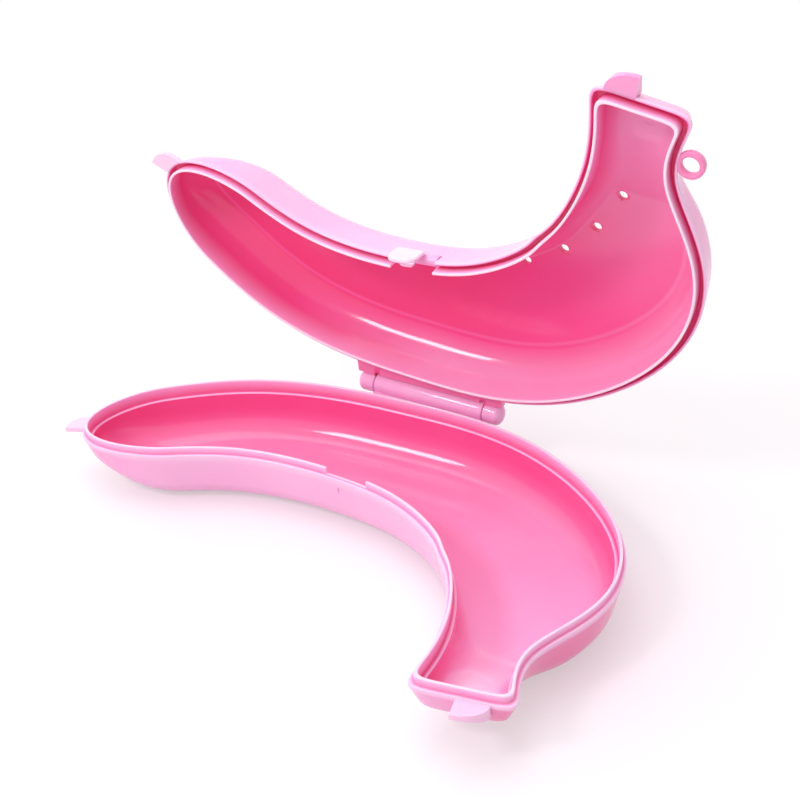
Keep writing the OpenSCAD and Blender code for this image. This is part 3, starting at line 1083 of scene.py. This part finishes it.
@dataclass(frozen=True)
class HingeSet(SubAssembly):
    """Barrel and web on the base, flange and domed knuckles on the lid, all on one axis along X."""

    knuckle_r: float = 4.0
    barrel_l: float = 45.0
    knuckle_l: float = 7.2
    end_gap: float = 0.5
    bore_r: float = 1.55
    relief_d: float = 2.0
    relief_over: float = 1.0
    barrel_ease: float = 0.35
    knuckle_ease: float = 0.3
    web_ease: float = 0.4
    flange_ease: float = 0.25
    # Painted light and shade of the flange, drawn deeper than the outer walls.
    flange_tone: float = 0.4
    turn_n: int = 72
    dome_n: int = 14
    bar_n: int = 40
    arm_n: int = 5
    corner_n: int = 4

    @property
    def dome(self) -> float:
        """Return the length of a knuckle's dome, a third of the knuckle."""
        return self.knuckle_l / 3

    def lathe(self, name: str, profile: Array, middle: Array, lid: bool) -> bpy.types.Object:
        """Spin a closed profile about the hinge axis, its distances counted from a point on it."""
        points = self.fits.seated(middle + spin(profile, self.turn_n), lid)
        return mesh_object(name, points.reshape(-1, 3), wrap_faces(len(profile), self.turn_n, True))

    def root(self, x: Array, inward: float, reach: float = 1.0, samples: int = 801) -> Array:
        """Follow the outline's hinge side along X.

        Args:
            x: Places along X.
            inward: Distance in from the outline.
            reach: How far along the spine to look, both ways.
            samples: Number of places that are looked at.

        Returns:
            The Y of the line at each place.
        """
        f = self.fits
        t = np.linspace(f.hinge_t - reach, f.hinge_t + reach, samples)
        side = f.outline.edge(t, Side.HINGE, inward)
        return np.interp(x, side[:, 0], side[:, 1])

    def barrel(self, name: str) -> bpy.types.Object:
        """Build the base's barrel, a bored cylinder with eased ends.

        Args:
            name: Name of the object.

        Returns:
            The turned barrel.
        """
        half, r = self.barrel_l / 2, self.knuckle_r
        path = np.array([(-half, self.bore_r), (-half, r), (half, r), (half, self.bore_r)])
        return self.lathe(name, fillet_path(path, np.full(2, self.barrel_ease)), self.fits.hinge, False)

    def web(self, name: str) -> bpy.types.Object:
        """Build the web under the barrel.

        Its section is a wedge from the wall to the barrel's underside, carried along X. The root follows the
        outline, drawn into the wall.

        Args:
            name: Name of the object.

        Returns:
            The web as a closed prism.
        """
        f = self.fits
        axis_x, axis_y, axis_z = f.hinge
        x = axis_x + np.linspace(-self.barrel_l / 2, self.barrel_l / 2, self.bar_n)
        root = self.root(x, f.wall)
        top, low = f.parting - f.clearance, f.parting - 2 * self.knuckle_r
        under = axis_z - self.knuckle_r
        lines = [line(x, root, low), line(x, root, top), line(x, axis_y, top), line(x, axis_y, under)]
        web = swept(name, np.stack(lines, 1))
        soften(web, self.web_ease)
        return web

    def flange(self, name: str) -> bpy.types.Object:
        """Build the lid's flange with the two arms that reach its knuckles.

        Its section is a flat bar carried along X. The root follows the outline and the outer edge steps out
        to the hinge axis at each arm. A relief hole stands in the corner of each arm.

        Args:
            name: Name of the object.

        Returns:
            The flange as a closed prism.
        """
        f = self.fits
        axis_x, axis_y, _ = f.hinge
        half, arm = self.barrel_l / 2 + f.clearance, self.knuckle_l - self.dome
        edge_y = axis_y - self.knuckle_r - self.end_gap
        stops = [-half - self.knuckle_l, -half - arm, -half, half, half + arm, half + self.knuckle_l]
        steps = [self.corner_n, self.arm_n, self.bar_n, self.arm_n, self.corner_n]
        x = axis_x + np.concatenate([np.linspace(a, b, n) for a, b, n in zip(stops, stops[1:], steps)])
        out = np.repeat([edge_y, axis_y, edge_y, axis_y, edge_y], steps)
        root = self.root(x, (f.shoulder - f.clearance) / 2)
        low = f.parting + f.clearance
        top = low + f.tongue_h
        lines = [line(x, root, low), line(x, root, top), line(x, out, top), line(x, out, low)]
        flange = swept(name, f.opened(np.stack(lines, 1)), self.flange_tone)
        spread = self.barrel_l / 2 - self.relief_d / 4
        middles = np.array([(axis_x - spread, edge_y), (axis_x + spread, edge_y)])
        heights = (low - self.relief_over, top + self.relief_over)
        drill(flange, f.opened(bores(middles, self.relief_d / 2, heights)))
        soften(flange, self.flange_ease)
        return flange

    def knuckle(self, name: str, end: End) -> bpy.types.Object:
        """Build one of the lid's knuckles, a bored barrel with a domed outer end.

        The dome is a quarter of an ellipse, spun. The bore goes through at the tip's end of the hinge and
        stops under the dome at the stem's.

        Args:
            name: Name of the object.
            end: End of the hinge.

        Returns:
            The turned knuckle.
        """
        r, bore, ease = self.knuckle_r, self.bore_r, self.knuckle_ease
        deep = self.knuckle_l - self.dome
        angle = np.linspace(0, np.pi / 2, self.dome_n)
        crown = np.stack([deep + self.dome * np.sin(angle), r * np.cos(angle)], -1)
        start = [(0.0, bore), (0.0, r - ease), (ease, r)]
        if end is End.TIP:
            crown = crown[crown[:, 1] > bore]
            mouth = np.interp(bore, crown[::-1, 1], crown[::-1, 0])
            profile = np.vstack([start, crown, [(mouth, bore)]])
        else:
            profile = np.vstack([[(deep, 0.0), (deep, bore)], start, crown])
        middle = self.fits.hinge + np.array([end.value * (self.barrel_l / 2 + self.fits.clearance), 0, 0])
        return self.lathe(name, profile * (end.value, 1), middle, True)

    def build(self, finish: bpy.types.Material) -> list[bpy.types.Object]:
        """Build and dress the hinge's pieces on both halves.

        Args:
            finish: The halves' material.

        Returns:
            The pieces.
        """
        on_base = [self.barrel("base_hinge_barrel"), self.web("base_hinge_web")]
        on_lid = [
            self.flange("lid_hinge_flange"),
            self.knuckle("lid_knuckle_tip", End.TIP),
            self.knuckle("lid_knuckle_stem", End.STEM),
        ]
        dressed = self.dress(on_base, Body.BASE, "case_plastic", finish)
        return dressed + self.dress(on_lid, Body.LID, "case_plastic", finish)


@dataclass(frozen=True)
class EndFittings(SubAssembly):
    """Thumb tabs at the stem end, nibs at the tip and the key loop."""

    tab_reach: float = 6.5
    tab_w: float = 10.0
    tab_edge: float = 1.8
    tab_root: float = 5.0
    tab_middle: float = -1.0
    tab_gap: float = 1.0
    tab_ease: float = 0.45
    # Painted light and shade of the base's tab and the lid's tab.
    tab_tones: tuple[float, float] = (0.82, 0.6)
    tab_n: int = 28
    nib_w: float = 8.0
    nib_reach: float = 7.0
    nib_t: float = 1.8
    nib_deg: float = 11.0
    nib_ease: float = 0.35
    # Painted light on the nibs: pale, as lit.
    nib_tone: float = 0.88
    nib_n: int = 26
    loop_d: float = 9.0
    loop_hole_d: float = 5.4
    loop_t: float = 2.5
    loop_at: float = 6.32
    loop_power: float = 0.62
    # Painted light and shade of the key loop, drawn deep.
    loop_tone: float = 0.46
    loop_n: tuple[int, int] = (28, 64)

    def tab(self, name: str, lid: bool) -> bpy.types.Object:
        """Build a quarter-oval thumb tab.

        Its section, along the way out of the end, is flat on the parting side and slopes underneath to a
        thick root. It is carried across the end while its reach follows the oval.

        Args:
            name: Name of the object.
            lid: Whether the tab belongs to the lid.

        Returns:
            The tab as a closed prism.
        """
        f = self.fits
        angle = np.linspace(0, np.pi / 2, self.tab_n)
        run, reach = self.tab_w * np.sin(angle), self.tab_reach * np.cos(angle)
        run = self.tab_middle + (-self.tab_gap - run if lid else run)
        under = self.tab_root + (self.tab_edge - self.tab_root) * reach / self.tab_reach
        root, deep = f.shoulder / 2, (f.shoulder + f.tongue + f.rim_w) / 2
        lines = [
            (-root, 0.0),
            (reach, 0.0),
            (reach, -under),
            (0.0, -self.tab_root),
            (-deep, -self.tab_root),
            (-deep, -f.rim_band),
            (-root, -f.rim_band),
        ]
        local = np.stack([line(run, out, up) for out, up in lines], 1)
        _, _, heading = f.outline.at(np.array(float(f.outline.last)))
        end = np.array(f.outline.controls[-1][:2])
        plan = end + local[..., :1] * leftwards(heading) + local[..., 1:2] * heading
        rise = f.clearance - local[..., 2:] if lid else local[..., 2:] - f.clearance
        points = f.seated(np.concatenate([plan, f.parting + rise], -1), lid)
        tab = swept(name, points, self.tab_tones[lid])
        soften(tab, self.tab_ease)
        return tab

    def tip_point(self, angle: Array, inward: float) -> Array:
        """Find points on the tip's ellipse: the angle's cosine along the spine and its sine across.

        Args:
            angle: Angles from the end of the tip towards the hinge side.
            inward: Distance in from the outline.

        Returns:
            Plan points.
        """
        outline = self.fits.outline
        t = outline.body_span[0] - np.cos(angle) * (outline.tip_round - inward) / outline.chords[0]
        place, half, heading = outline.at(t)
        return place + leftwards(heading) * ((half - inward) * np.sin(angle))[..., None]

    def nib(self, name: str, lid: bool, reach: float = 1.4, samples: int = 1401) -> bpy.types.Object:
        """Build a quarter-oval nib at the tip.

        It is drawn between two lines along the rim: the root follows the tip's ellipse inside the wall, and
        the outer edge is the quarter oval, square to the outline at the nib's place.

        Args:
            name: Name of the object.
            lid: Whether the nib belongs to the lid.
            reach: How far round the tip to look for the root, both ways, in radians.
            samples: Number of places that are looked at.

        Returns:
            The nib as a closed prism.
        """
        f = self.fits
        turn = np.radians(self.nib_deg)
        middle = self.tip_point(np.array(turn), 0.0)
        _, _, lead = f.outline.at(np.array(0.0))
        out = -lead * np.cos(turn) / f.outline.tip_round
        out = out + leftwards(lead) * np.sin(turn) / (f.outline.controls[0][2] / 2)
        out = out / np.linalg.norm(out)
        hinge_way = -leftwards(out)
        sweep = np.linspace(0, np.pi / 2, self.nib_n)
        shift = self.nib_w * np.sin(sweep)
        shift = -self.tab_gap - shift if lid else shift
        rim = self.tip_point(np.linspace(-reach, reach, samples), f.shoulder / 2) - middle
        root_out = np.interp(shift, rim @ hinge_way, rim @ out)
        edge_out = np.maximum(self.nib_reach * np.cos(sweep), root_out)
        slid = middle + shift[:, None] * hinge_way
        edge, root = (slid + far[:, None] * out for far in (edge_out, root_out))
        low = f.parting + f.clearance if lid else f.parting - f.clearance - self.nib_t
        high = low + self.nib_t
        corners = [(root, low), (edge, low), (edge, high), (root, high)]
        lines = [np.insert(plan, 2, height, axis=1) for plan, height in corners]
        nib = swept(name, f.seated(np.stack(lines, 1), lid), self.nib_tone)
        soften(nib, self.nib_ease)
        return nib

    def loop(self, name: str) -> bpy.types.Object:
        """Build the lid's key loop: a superellipse bar spun about an axis square to the parting plane.

        Args:
            name: Name of the object.

        Returns:
            The ring.
        """
        f = self.fits
        x, y = f.outline.edge(self.loop_at, Side.HINGE, f.shoulder - f.clearance - self.loop_d / 2)
        bar, mean = (self.loop_d - self.loop_hole_d) / 4, (self.loop_d + self.loop_hole_d) / 4
        turn, around = (np.linspace(0, 2 * np.pi, n, endpoint=False) for n in self.loop_n)
        out, rise = (np.sign(wave) * np.abs(wave) ** self.loop_power for wave in (np.cos(turn), np.sin(turn)))
        radius = (mean + bar * out)[:, None]
        height = (f.parting + f.clearance + self.loop_t / 2 * (1 + rise))[:, None]
        points = f.opened(line(x + radius * np.cos(around), y + radius * np.sin(around), height))
        return mesh_object(name, points.reshape(-1, 3), wrap_faces(*self.loop_n, True), self.loop_tone)

    def build(self, finish: bpy.types.Material) -> list[bpy.types.Object]:
        """Build and dress the fittings of both halves.

        Args:
            finish: The halves' material.

        Returns:
            The pieces.
        """
        on_base = [self.tab("base_thumb_tab", False), self.nib("base_tip_nib", False)]
        on_lid = [self.tab("lid_thumb_tab", True), self.nib("lid_tip_nib", True), self.loop("lid_key_loop")]
        dressed = self.dress(on_base, Body.BASE, "case_plastic", finish)
        return dressed + self.dress(on_lid, Body.LID, "case_plastic", finish)


@dataclass(frozen=True)
class LatchClip(SubAssembly):
    """Swinging clip: a boss on its pin, a plate outside the wall with a finger lip, and an inward hook."""

    width: float = 11.0
    thick: float = 1.8
    drop: float = 6.0
    gap: float = 0.6
    swing_deg: float = 7.0
    pin_in: float = 1.5
    pin_lift: float = 4.2
    top_rise: float = 0.4
    upper_r: float = 1.4
    lower_r_share: float = 1 / 2.6
    edge_r: float = 0.75
    edge_power: float = 0.8
    face_shares: tuple[float, float] = (0.05, 0.92)
    curl_short: float = 0.2
    lip_rise: float = 0.3
    lip_up: float = 1.0
    lip_w: float = 0.8
    # Painted highlight: the plate is drawn near white.
    plate_tone: float = 0.94
    plate_n: tuple[int, int, int] = (120, 13, 9)
    hook: float = 1.4
    hook_w: float = 6.0
    hook_root: float = 0.5
    hook_edge: float = 0.3
    hook_power: float = 4.0
    hook_slope: float = 0.6
    # Painted highlight on the hook, near white like the plate.
    hook_tone: float = 0.92
    hook_n: int = 33
    catch_drop: float = 3.6
    boss_r: float = 1.9
    bore_r: float = 0.85
    boss_ease: float = 0.3
    boss_n: int = 48

    @property
    def middle(self) -> float:
        """Return the plate's middle: it stands at the tip's end of the notch."""
        return self.width / 2 + self.fits.clearance - self.fits.notch_w / 2

    def place(self, local: Array) -> Array:
        """Swing points out about the clip's pin, then put them on the open lid.

        Args:
            local: Distances along the rim, inwards and up from the parting plane at the latch.

        Returns:
            The points at rest.
        """
        c, s = np.cos(np.radians(self.swing_deg)), np.sin(np.radians(self.swing_deg))
        y, z = local[..., 1] - self.pin_in, local[..., 2] - self.pin_lift
        swung = line(local[..., 0], self.pin_in + c * y + s * z, self.pin_lift - s * y + c * z)
        return self.fits.opened(self.fits.at_latch(swung))

    def plate(self, name: str) -> bpy.types.Object:
        """Build the plate: a slab with rounded corners and edges, curled over the boss at its upper end.

        Rings of the slab's outline run from the middle of its back over its rounded edge to the middle of its
        front. They are the outline scaled about its middle on the two faces, and drawn in as a half circle at
        the edge. The curl moves a point in by a smooth step of its height, and the finger lip moves the front
        out by a bell curve of its height.

        Args:
            name: Name of the object.

        Returns:
            The plate as a closed mesh.
        """
        around_n, edge_n, face_n = self.plate_n
        half, top, low_r = self.width / 2, self.pin_lift + self.top_rise, self.width * self.lower_r_share
        corners = [(0, top), (-half, top), (-half, -self.drop), (half, -self.drop), (half, top), (0, top)]
        path = fillet_path(np.array(corners), np.array([self.upper_r, low_r, low_r, self.upper_r]), steps=12)
        run = np.concatenate([[0], np.cumsum(np.linalg.norm(np.diff(path, axis=0), axis=1))])
        stops = np.linspace(0, run[-1], around_n, endpoint=False)
        outline = np.stack([np.interp(stops, run, path[:, k]) for k in (0, 1)], -1)
        along = np.roll(outline, -1, 0) - np.roll(outline, 1, 0)
        outward = -leftwards(along) / np.linalg.norm(along, axis=1)[:, None]

        turn = np.linspace(np.pi / 2, -np.pi / 2, edge_n)
        edge = outline - (self.edge_r * (1 - np.cos(turn)))[:, None, None] * outward
        centre = np.array([0, (top - self.drop) / 2])
        share = np.linspace(*self.face_shares, face_n)[:, None, None]
        back, front = (centre + share * (edge[k] - centre) for k in (0, -1))
        rings = np.concatenate([back, edge, front[::-1]])
        flat = np.ones(face_n)
        round_edge = np.sign(turn) * np.abs(np.sin(turn)) ** self.edge_power
        level = np.concatenate([flat, round_edge, -flat])[:, None]
        up = rings[..., 1]
        past_boss = (up - self.pin_lift + self.boss_r) / (2 * self.boss_r)
        curl = (self.pin_in - self.curl_short) * smooth_step(past_boss)
        bell = np.exp(-(((up + self.drop - self.lip_up) / self.lip_w) ** 2))
        lip = self.lip_rise * bell * np.clip(-level, 0, 1)
        inward = -self.gap - self.thick / 2 * (1 - level) + curl - lip
        return swept(name, self.place(line(self.middle + rings[..., 0], inward, up)), self.plate_tone)

    def claw(self, name: str) -> bpy.types.Object:
        """Build the hook: a wedge with a flat top, whose reach is half an oval across its width.

        Args:
            name: Name of the object.

        Returns:
            The hook as a closed prism.
        """
        back, top = -self.gap - self.hook_root, -self.catch_drop - self.fits.clearance
        x = self.hook_w / 2 * np.sin(np.linspace(-np.pi / 2, np.pi / 2, self.hook_n))
        oval = (1 - (2 * np.abs(x) / self.hook_w) ** self.hook_power) ** 0.5
        reach = self.hook_edge + self.hook * oval
        run = self.middle + self.width / 2 - self.hook_w / 2 + x
        lines = [
            line(run, back, top),
            line(run, back + reach, top),
            line(run, back + reach, top - self.hook_slope * reach),
            line(run, back, self.hook_edge - self.drop),
        ]
        return swept(name, self.place(np.stack(lines, 1)), self.hook_tone)

    def boss(self, name: str) -> bpy.types.Object:
        """Build the boss: a bored cylinder on the clip's pin with eased ends.

        Args:
            name: Name of the object.

        Returns:
            The turned boss.
        """
        half, r = self.fits.notch_w / 2 - self.fits.clearance, self.boss_r
        path = np.array([(-half, self.bore_r), (-half, r), (half, r), (half, self.bore_r)])
        profile = fillet_path(path, np.full(2, self.boss_ease))
        points = self.place(np.array([0, self.pin_in, self.pin_lift]) + spin(profile, self.boss_n))
        return mesh_object(name, points.reshape(-1, 3), wrap_faces(len(profile), self.boss_n, True))

    def build(self, finish: bpy.types.Material) -> list[bpy.types.Object]:
        """Build and dress the clip, whose plate stands for its solid.

        Args:
            finish: The clip's material.

        Returns:
            The pieces.
        """
        plate = self.plate("clip_plate")
        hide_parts("latch_clip")
        pieces = [plate, self.claw("clip_hook"), self.boss("clip_boss")]
        return self.dress(pieces, Body.LATCH, "clip_plastic", finish)


@dataclass(frozen=True)
class WirePins:
    """The hinge's pin and the clip's pin, which keep their solids."""

    nodes: tuple[str, ...] = ("hinge_pin", "latch_pin")

    def build(self, finish: bpy.types.Material) -> list[bpy.types.Object]:
        """Dress the pins' solids.

        Args:
            finish: The wire's material.

        Returns:
            The pins.
        """
        pins = [frame["nodes"][node] for node in self.nodes]
        for pin in pins:
            pin.data.materials.clear()
            pin.data.materials.append(finish)
        return pins


def standing(right: Array, up: Array, place: Array) -> Matrix:
    """Stand an object in the scene.

    Args:
        right: Direction of its X axis.
        up: Direction of its Y axis.
        place: Its place, in metres.

    Returns:
        The object's matrix.
    """
    whole = np.eye(4)
    whole[:3, :3] = np.stack([right, up, np.cross(right, up)], 1)
    whole[:3, 3] = place
    return Matrix(whole.tolist())


@dataclass(frozen=True)
class SoftLamp:
    """Square soft lamp: its place, the point that it faces and its side, in metres, and its power."""

    name: str
    place: tuple[float, float, float]
    target: tuple[float, float, float]
    side: float
    watts: float

    def build(self) -> None:
        """Add the lamp to the scene, level and facing its target."""
        data = bpy.data.lights.new(self.name, "AREA")
        data.shape, data.size, data.energy = "SQUARE", self.side, self.watts
        away = np.subtract(self.place, self.target)
        away = away / np.linalg.norm(away)
        right = np.cross((0, 0, 1), away)
        right = right / np.linalg.norm(right)
        lamp = bpy.data.objects.new(self.name, data)
        lamp.matrix_world = standing(right, np.cross(away, right), self.place)
        bpy.context.scene.collection.objects.link(lamp)


@dataclass(frozen=True)
class Studio:
    """Plain pale floor, soft light and a camera where the photograph was taken from."""

    eye_mm: tuple[float, float, float] = (204.85, -337.16, 284.72)
    right: tuple[float, float, float] = (0.8704862, 0.4914502, -0.0270261)
    up: tuple[float, float, float] = (-0.2394066, 0.4707491, 0.8491642)
    lens_mm: float = 60.26
    sensor_mm: float = 36.0
    clip_m: tuple[float, float] = (0.01, 20.0)
    floor_half: float = 6000.0
    grid_half: float = 190.0
    grid_n: int = 191
    # Faint pink paper: it tints the lamps' shadow pink, as painted bounce light; where lit, it clips to
    # white.
    floor_colour: str = "#F7F1F5"
    floor_roughness: float = 0.3
    floor_specular: float = 0.4
    # Pink of the painted bounce light that the base's wall throws on the floor near it.
    cast_colour: str = "#F292D0"
    cast_mm: float = 4.0
    lee_mm: float = 16.0
    bounce_colour: str = "#E0E0E0"
    white_m: tuple[float, float] = (0.14, 0.36)
    white_near: float = 0.45
    room: tuple[float, float] = (1.05, 0.6)
    lamps: tuple[SoftLamp, ...] = (
        SoftLamp("overhead", (-0.1, 0.05, 0.9), (0.0, 0.0, 0.05), 0.6, 2.4),
        SoftLamp("window", (-0.29, -0.54, 0.66), (0.0, 0.04, 0.04), 0.18, 2.2),
    )

    def camera(self) -> None:
        """Set the camera from its place and its right and up directions."""
        data = bpy.data.cameras.new("camera")
        data.lens, data.sensor_width = self.lens_mm, self.sensor_mm
        data.clip_start, data.clip_end = self.clip_m
        camera = bpy.data.objects.new("camera", data)
        camera.matrix_world = standing(self.right, self.up, np.array(self.eye_mm) * MM)
        bpy.context.scene.collection.objects.link(camera)
        bpy.context.scene.camera = camera

    def floor(self, base: HalfShell) -> None:
        """Lay the floor, white to the camera where nothing shades it.

        The grid is fine near the case. A point attribute paints pink bounce light from the base's wall on the
        floor, tinting the shadow there too: it fades with the distance from the foot of the wall and with the
        foot's height, and reaches further to the side away from the bright half of the room.

        Args:
            base: The half that stands on the floor.
        """
        grid = np.linspace(-self.grid_half, self.grid_half, self.grid_n)
        ticks = np.concatenate([[-self.floor_half], grid, [self.floor_half]])
        x, y = np.meshgrid(ticks, ticks, indexing="ij")
        foot = base.foot()
        along, across = x.reshape(-1, 1) - foot[:, 0], y.reshape(-1, 1) - foot[:, 1]
        apart = np.hypot(along, across)
        lee = np.clip(along / np.maximum(apart, self.cast_mm), 0, 1)
        # Painted bounce light: how much of the pink the floor takes at each point.
        cast = np.exp(-apart / (self.cast_mm + self.lee_mm * lee) - foot[:, 2] / self.cast_mm).max(1)
        mesh = bpy.data.meshes.new("floor")
        quads = grid_quads(np.arange(x.size).reshape(x.shape).T)
        mesh.from_pydata(line(x, y, 0.0).reshape(-1, 3) * MM, [], quads)
        mesh.attributes.new("cast", "FLOAT", "POINT").data.foreach_set("value", cast.astype(np.float32))
        ground = bpy.data.objects.new("floor", mesh)
        bpy.context.scene.collection.objects.link(ground)
        mesh.materials.append(self.paper())

    def paper(self) -> bpy.types.Material:
        """Build the floor's material.

        White paper, slightly glossy. It gives the eye a clean white ground with a soft shadow from the lamps,
        tinted pink near the case by painted bounce light. The camera and reflections see it glow partly white
        near the case, which lightens the shadow there, and fade to even white away from it; other light meets
        a pale grey.

        Returns:
            The material.
        """
        material, tree, output = new_material("white_studio_paper")
        place = add_node(tree, "ShaderNodeTexCoord").outputs["Object"]
        apart = add_node(tree, "ShaderNodeVectorMath", {"operation": "LENGTH"}, {"Vector": place})
        # Share of plain white that the camera and reflections see: part near the case, which lightens the
        # shadow, all far away.
        near, far = self.white_m
        fade = {"From Min": near, "From Max": far, "To Min": self.white_near}
        whiten = add_node(tree, "ShaderNodeMapRange", fade, {"Value": apart.outputs["Value"]})
        # The painted pink bounce light, mixed into the paper's colour.
        cast = add_node(tree, "ShaderNodeAttribute", {"attribute_name": "cast"})
        tint = add_node(tree, "ShaderNodeMix", {"data_type": "RGBA"}, {"Factor": cast.outputs["Fac"]})
        # Inputs 6 and 7 are the two colours that the node mixes, and output 2 is the mixed one.
        tint.inputs[6].default_value = linear(self.floor_colour)
        tint.inputs[7].default_value = linear(self.cast_colour)
        gloss = {"Roughness": self.floor_roughness, "Specular IOR Level": self.floor_specular}
        paper = add_node(tree, "ShaderNodeBsdfPrincipled", gloss, {"Base Color": tint.outputs[2]})
        white = add_node(tree, "ShaderNodeEmission", {"Color": WHITE, "Strength": 1.0})
        dull = add_node(tree, "ShaderNodeBsdfDiffuse", {"Color": linear(self.bounce_colour)})
        fading = {"Fac": whiten.outputs["Result"], 1: paper.outputs["BSDF"], 2: white.outputs["Emission"]}
        shown = add_node(tree, "ShaderNodeMixShader", {}, fading)
        ray = add_node(tree, "ShaderNodeLightPath").outputs
        kinds = {0: ray["Is Camera Ray"], 1: ray["Is Glossy Ray"]}
        seen = add_node(tree, "ShaderNodeMath", {"operation": "MAXIMUM"}, kinds)
        choice = {"Fac": seen.outputs["Value"], 1: dull.outputs["BSDF"], 2: shown.outputs["Shader"]}
        mix = add_node(tree, "ShaderNodeMixShader", {}, choice)
        tree.links.new(mix.outputs["Shader"], output.inputs["Surface"])
        return material

    def light(self) -> None:
        """Light the case with a soft room, brighter to the left, and with the lamps.

        The camera, reflections and clear materials see the room as even white.
        """
        world = bpy.data.worlds.new("studio")
        bpy.context.scene.world = world
        world.use_nodes = True
        tree = world.node_tree
        tree.nodes.clear()
        place = add_node(tree, "ShaderNodeTexCoord")
        parts = add_node(tree, "ShaderNodeSeparateXYZ", {}, {"Vector": place.outputs["Generated"]})
        left, right = self.room
        slope = {"From Min": -1.0, "From Max": 1.0, "To Min": left, "To Max": right}
        level = add_node(tree, "ShaderNodeMapRange", slope, {"Value": parts.outputs["X"]})
        room = add_node(tree, "ShaderNodeBackground", {"Color": WHITE}, {"Strength": level.outputs["Result"]})
        white = add_node(tree, "ShaderNodeBackground", {"Color": WHITE, "Strength": 1.0})
        ray = add_node(tree, "ShaderNodeLightPath").outputs
        kinds = {0: ray["Is Camera Ray"], 1: ray["Is Transmission Ray"]}
        clear = add_node(tree, "ShaderNodeMath", {"operation": "MAXIMUM"}, kinds)
        kinds = {0: clear.outputs["Value"], 1: ray["Is Glossy Ray"]}
        seen = add_node(tree, "ShaderNodeMath", {"operation": "MAXIMUM"}, kinds).outputs["Value"]
        choice = {"Fac": seen, 1: room.outputs["Background"], 2: white.outputs["Background"]}
        mix = add_node(tree, "ShaderNodeMixShader", {}, choice)
        add_node(tree, "ShaderNodeOutputWorld", {}, {"Surface": mix.outputs["Shader"]})
        for lamp in self.lamps:
            lamp.build()


def main() -> None:
    """Build the case and its studio."""
    logging.basicConfig(level=logging.INFO, format="%(name)s: %(message)s")
    case_plastic = MouldedPolypropylene("moulded_polypropylene").build()
    clip_plastic = MouldedPolypropylene("clip_polypropylene", roughness=0.18).build()
    steel = DrawnSteel().build()
    fits, studio = Fits(), Studio()
    base, lid = HalfShell(fits, lid=False), HalfShell(fits, lid=True, tones=LID_PAINTED_LIGHT)
    assemblies = [
        (base, case_plastic),
        (lid, case_plastic),
        (HingeSet(fits), case_plastic),
        (EndFittings(fits), case_plastic),
        (LatchClip(fits), clip_plastic),
        (WirePins(), steel),
    ]
    for assembly, finish in assemblies:
        for piece in assembly.build(finish):
            LOG.info("%s has %d faces of %s", piece.name, len(piece.data.polygons), finish.name)
    studio.floor(base)
    studio.light()
    studio.camera()
    bpy.context.scene.view_settings.view_transform = "Standard"


if __name__ == "__main__":
    main()
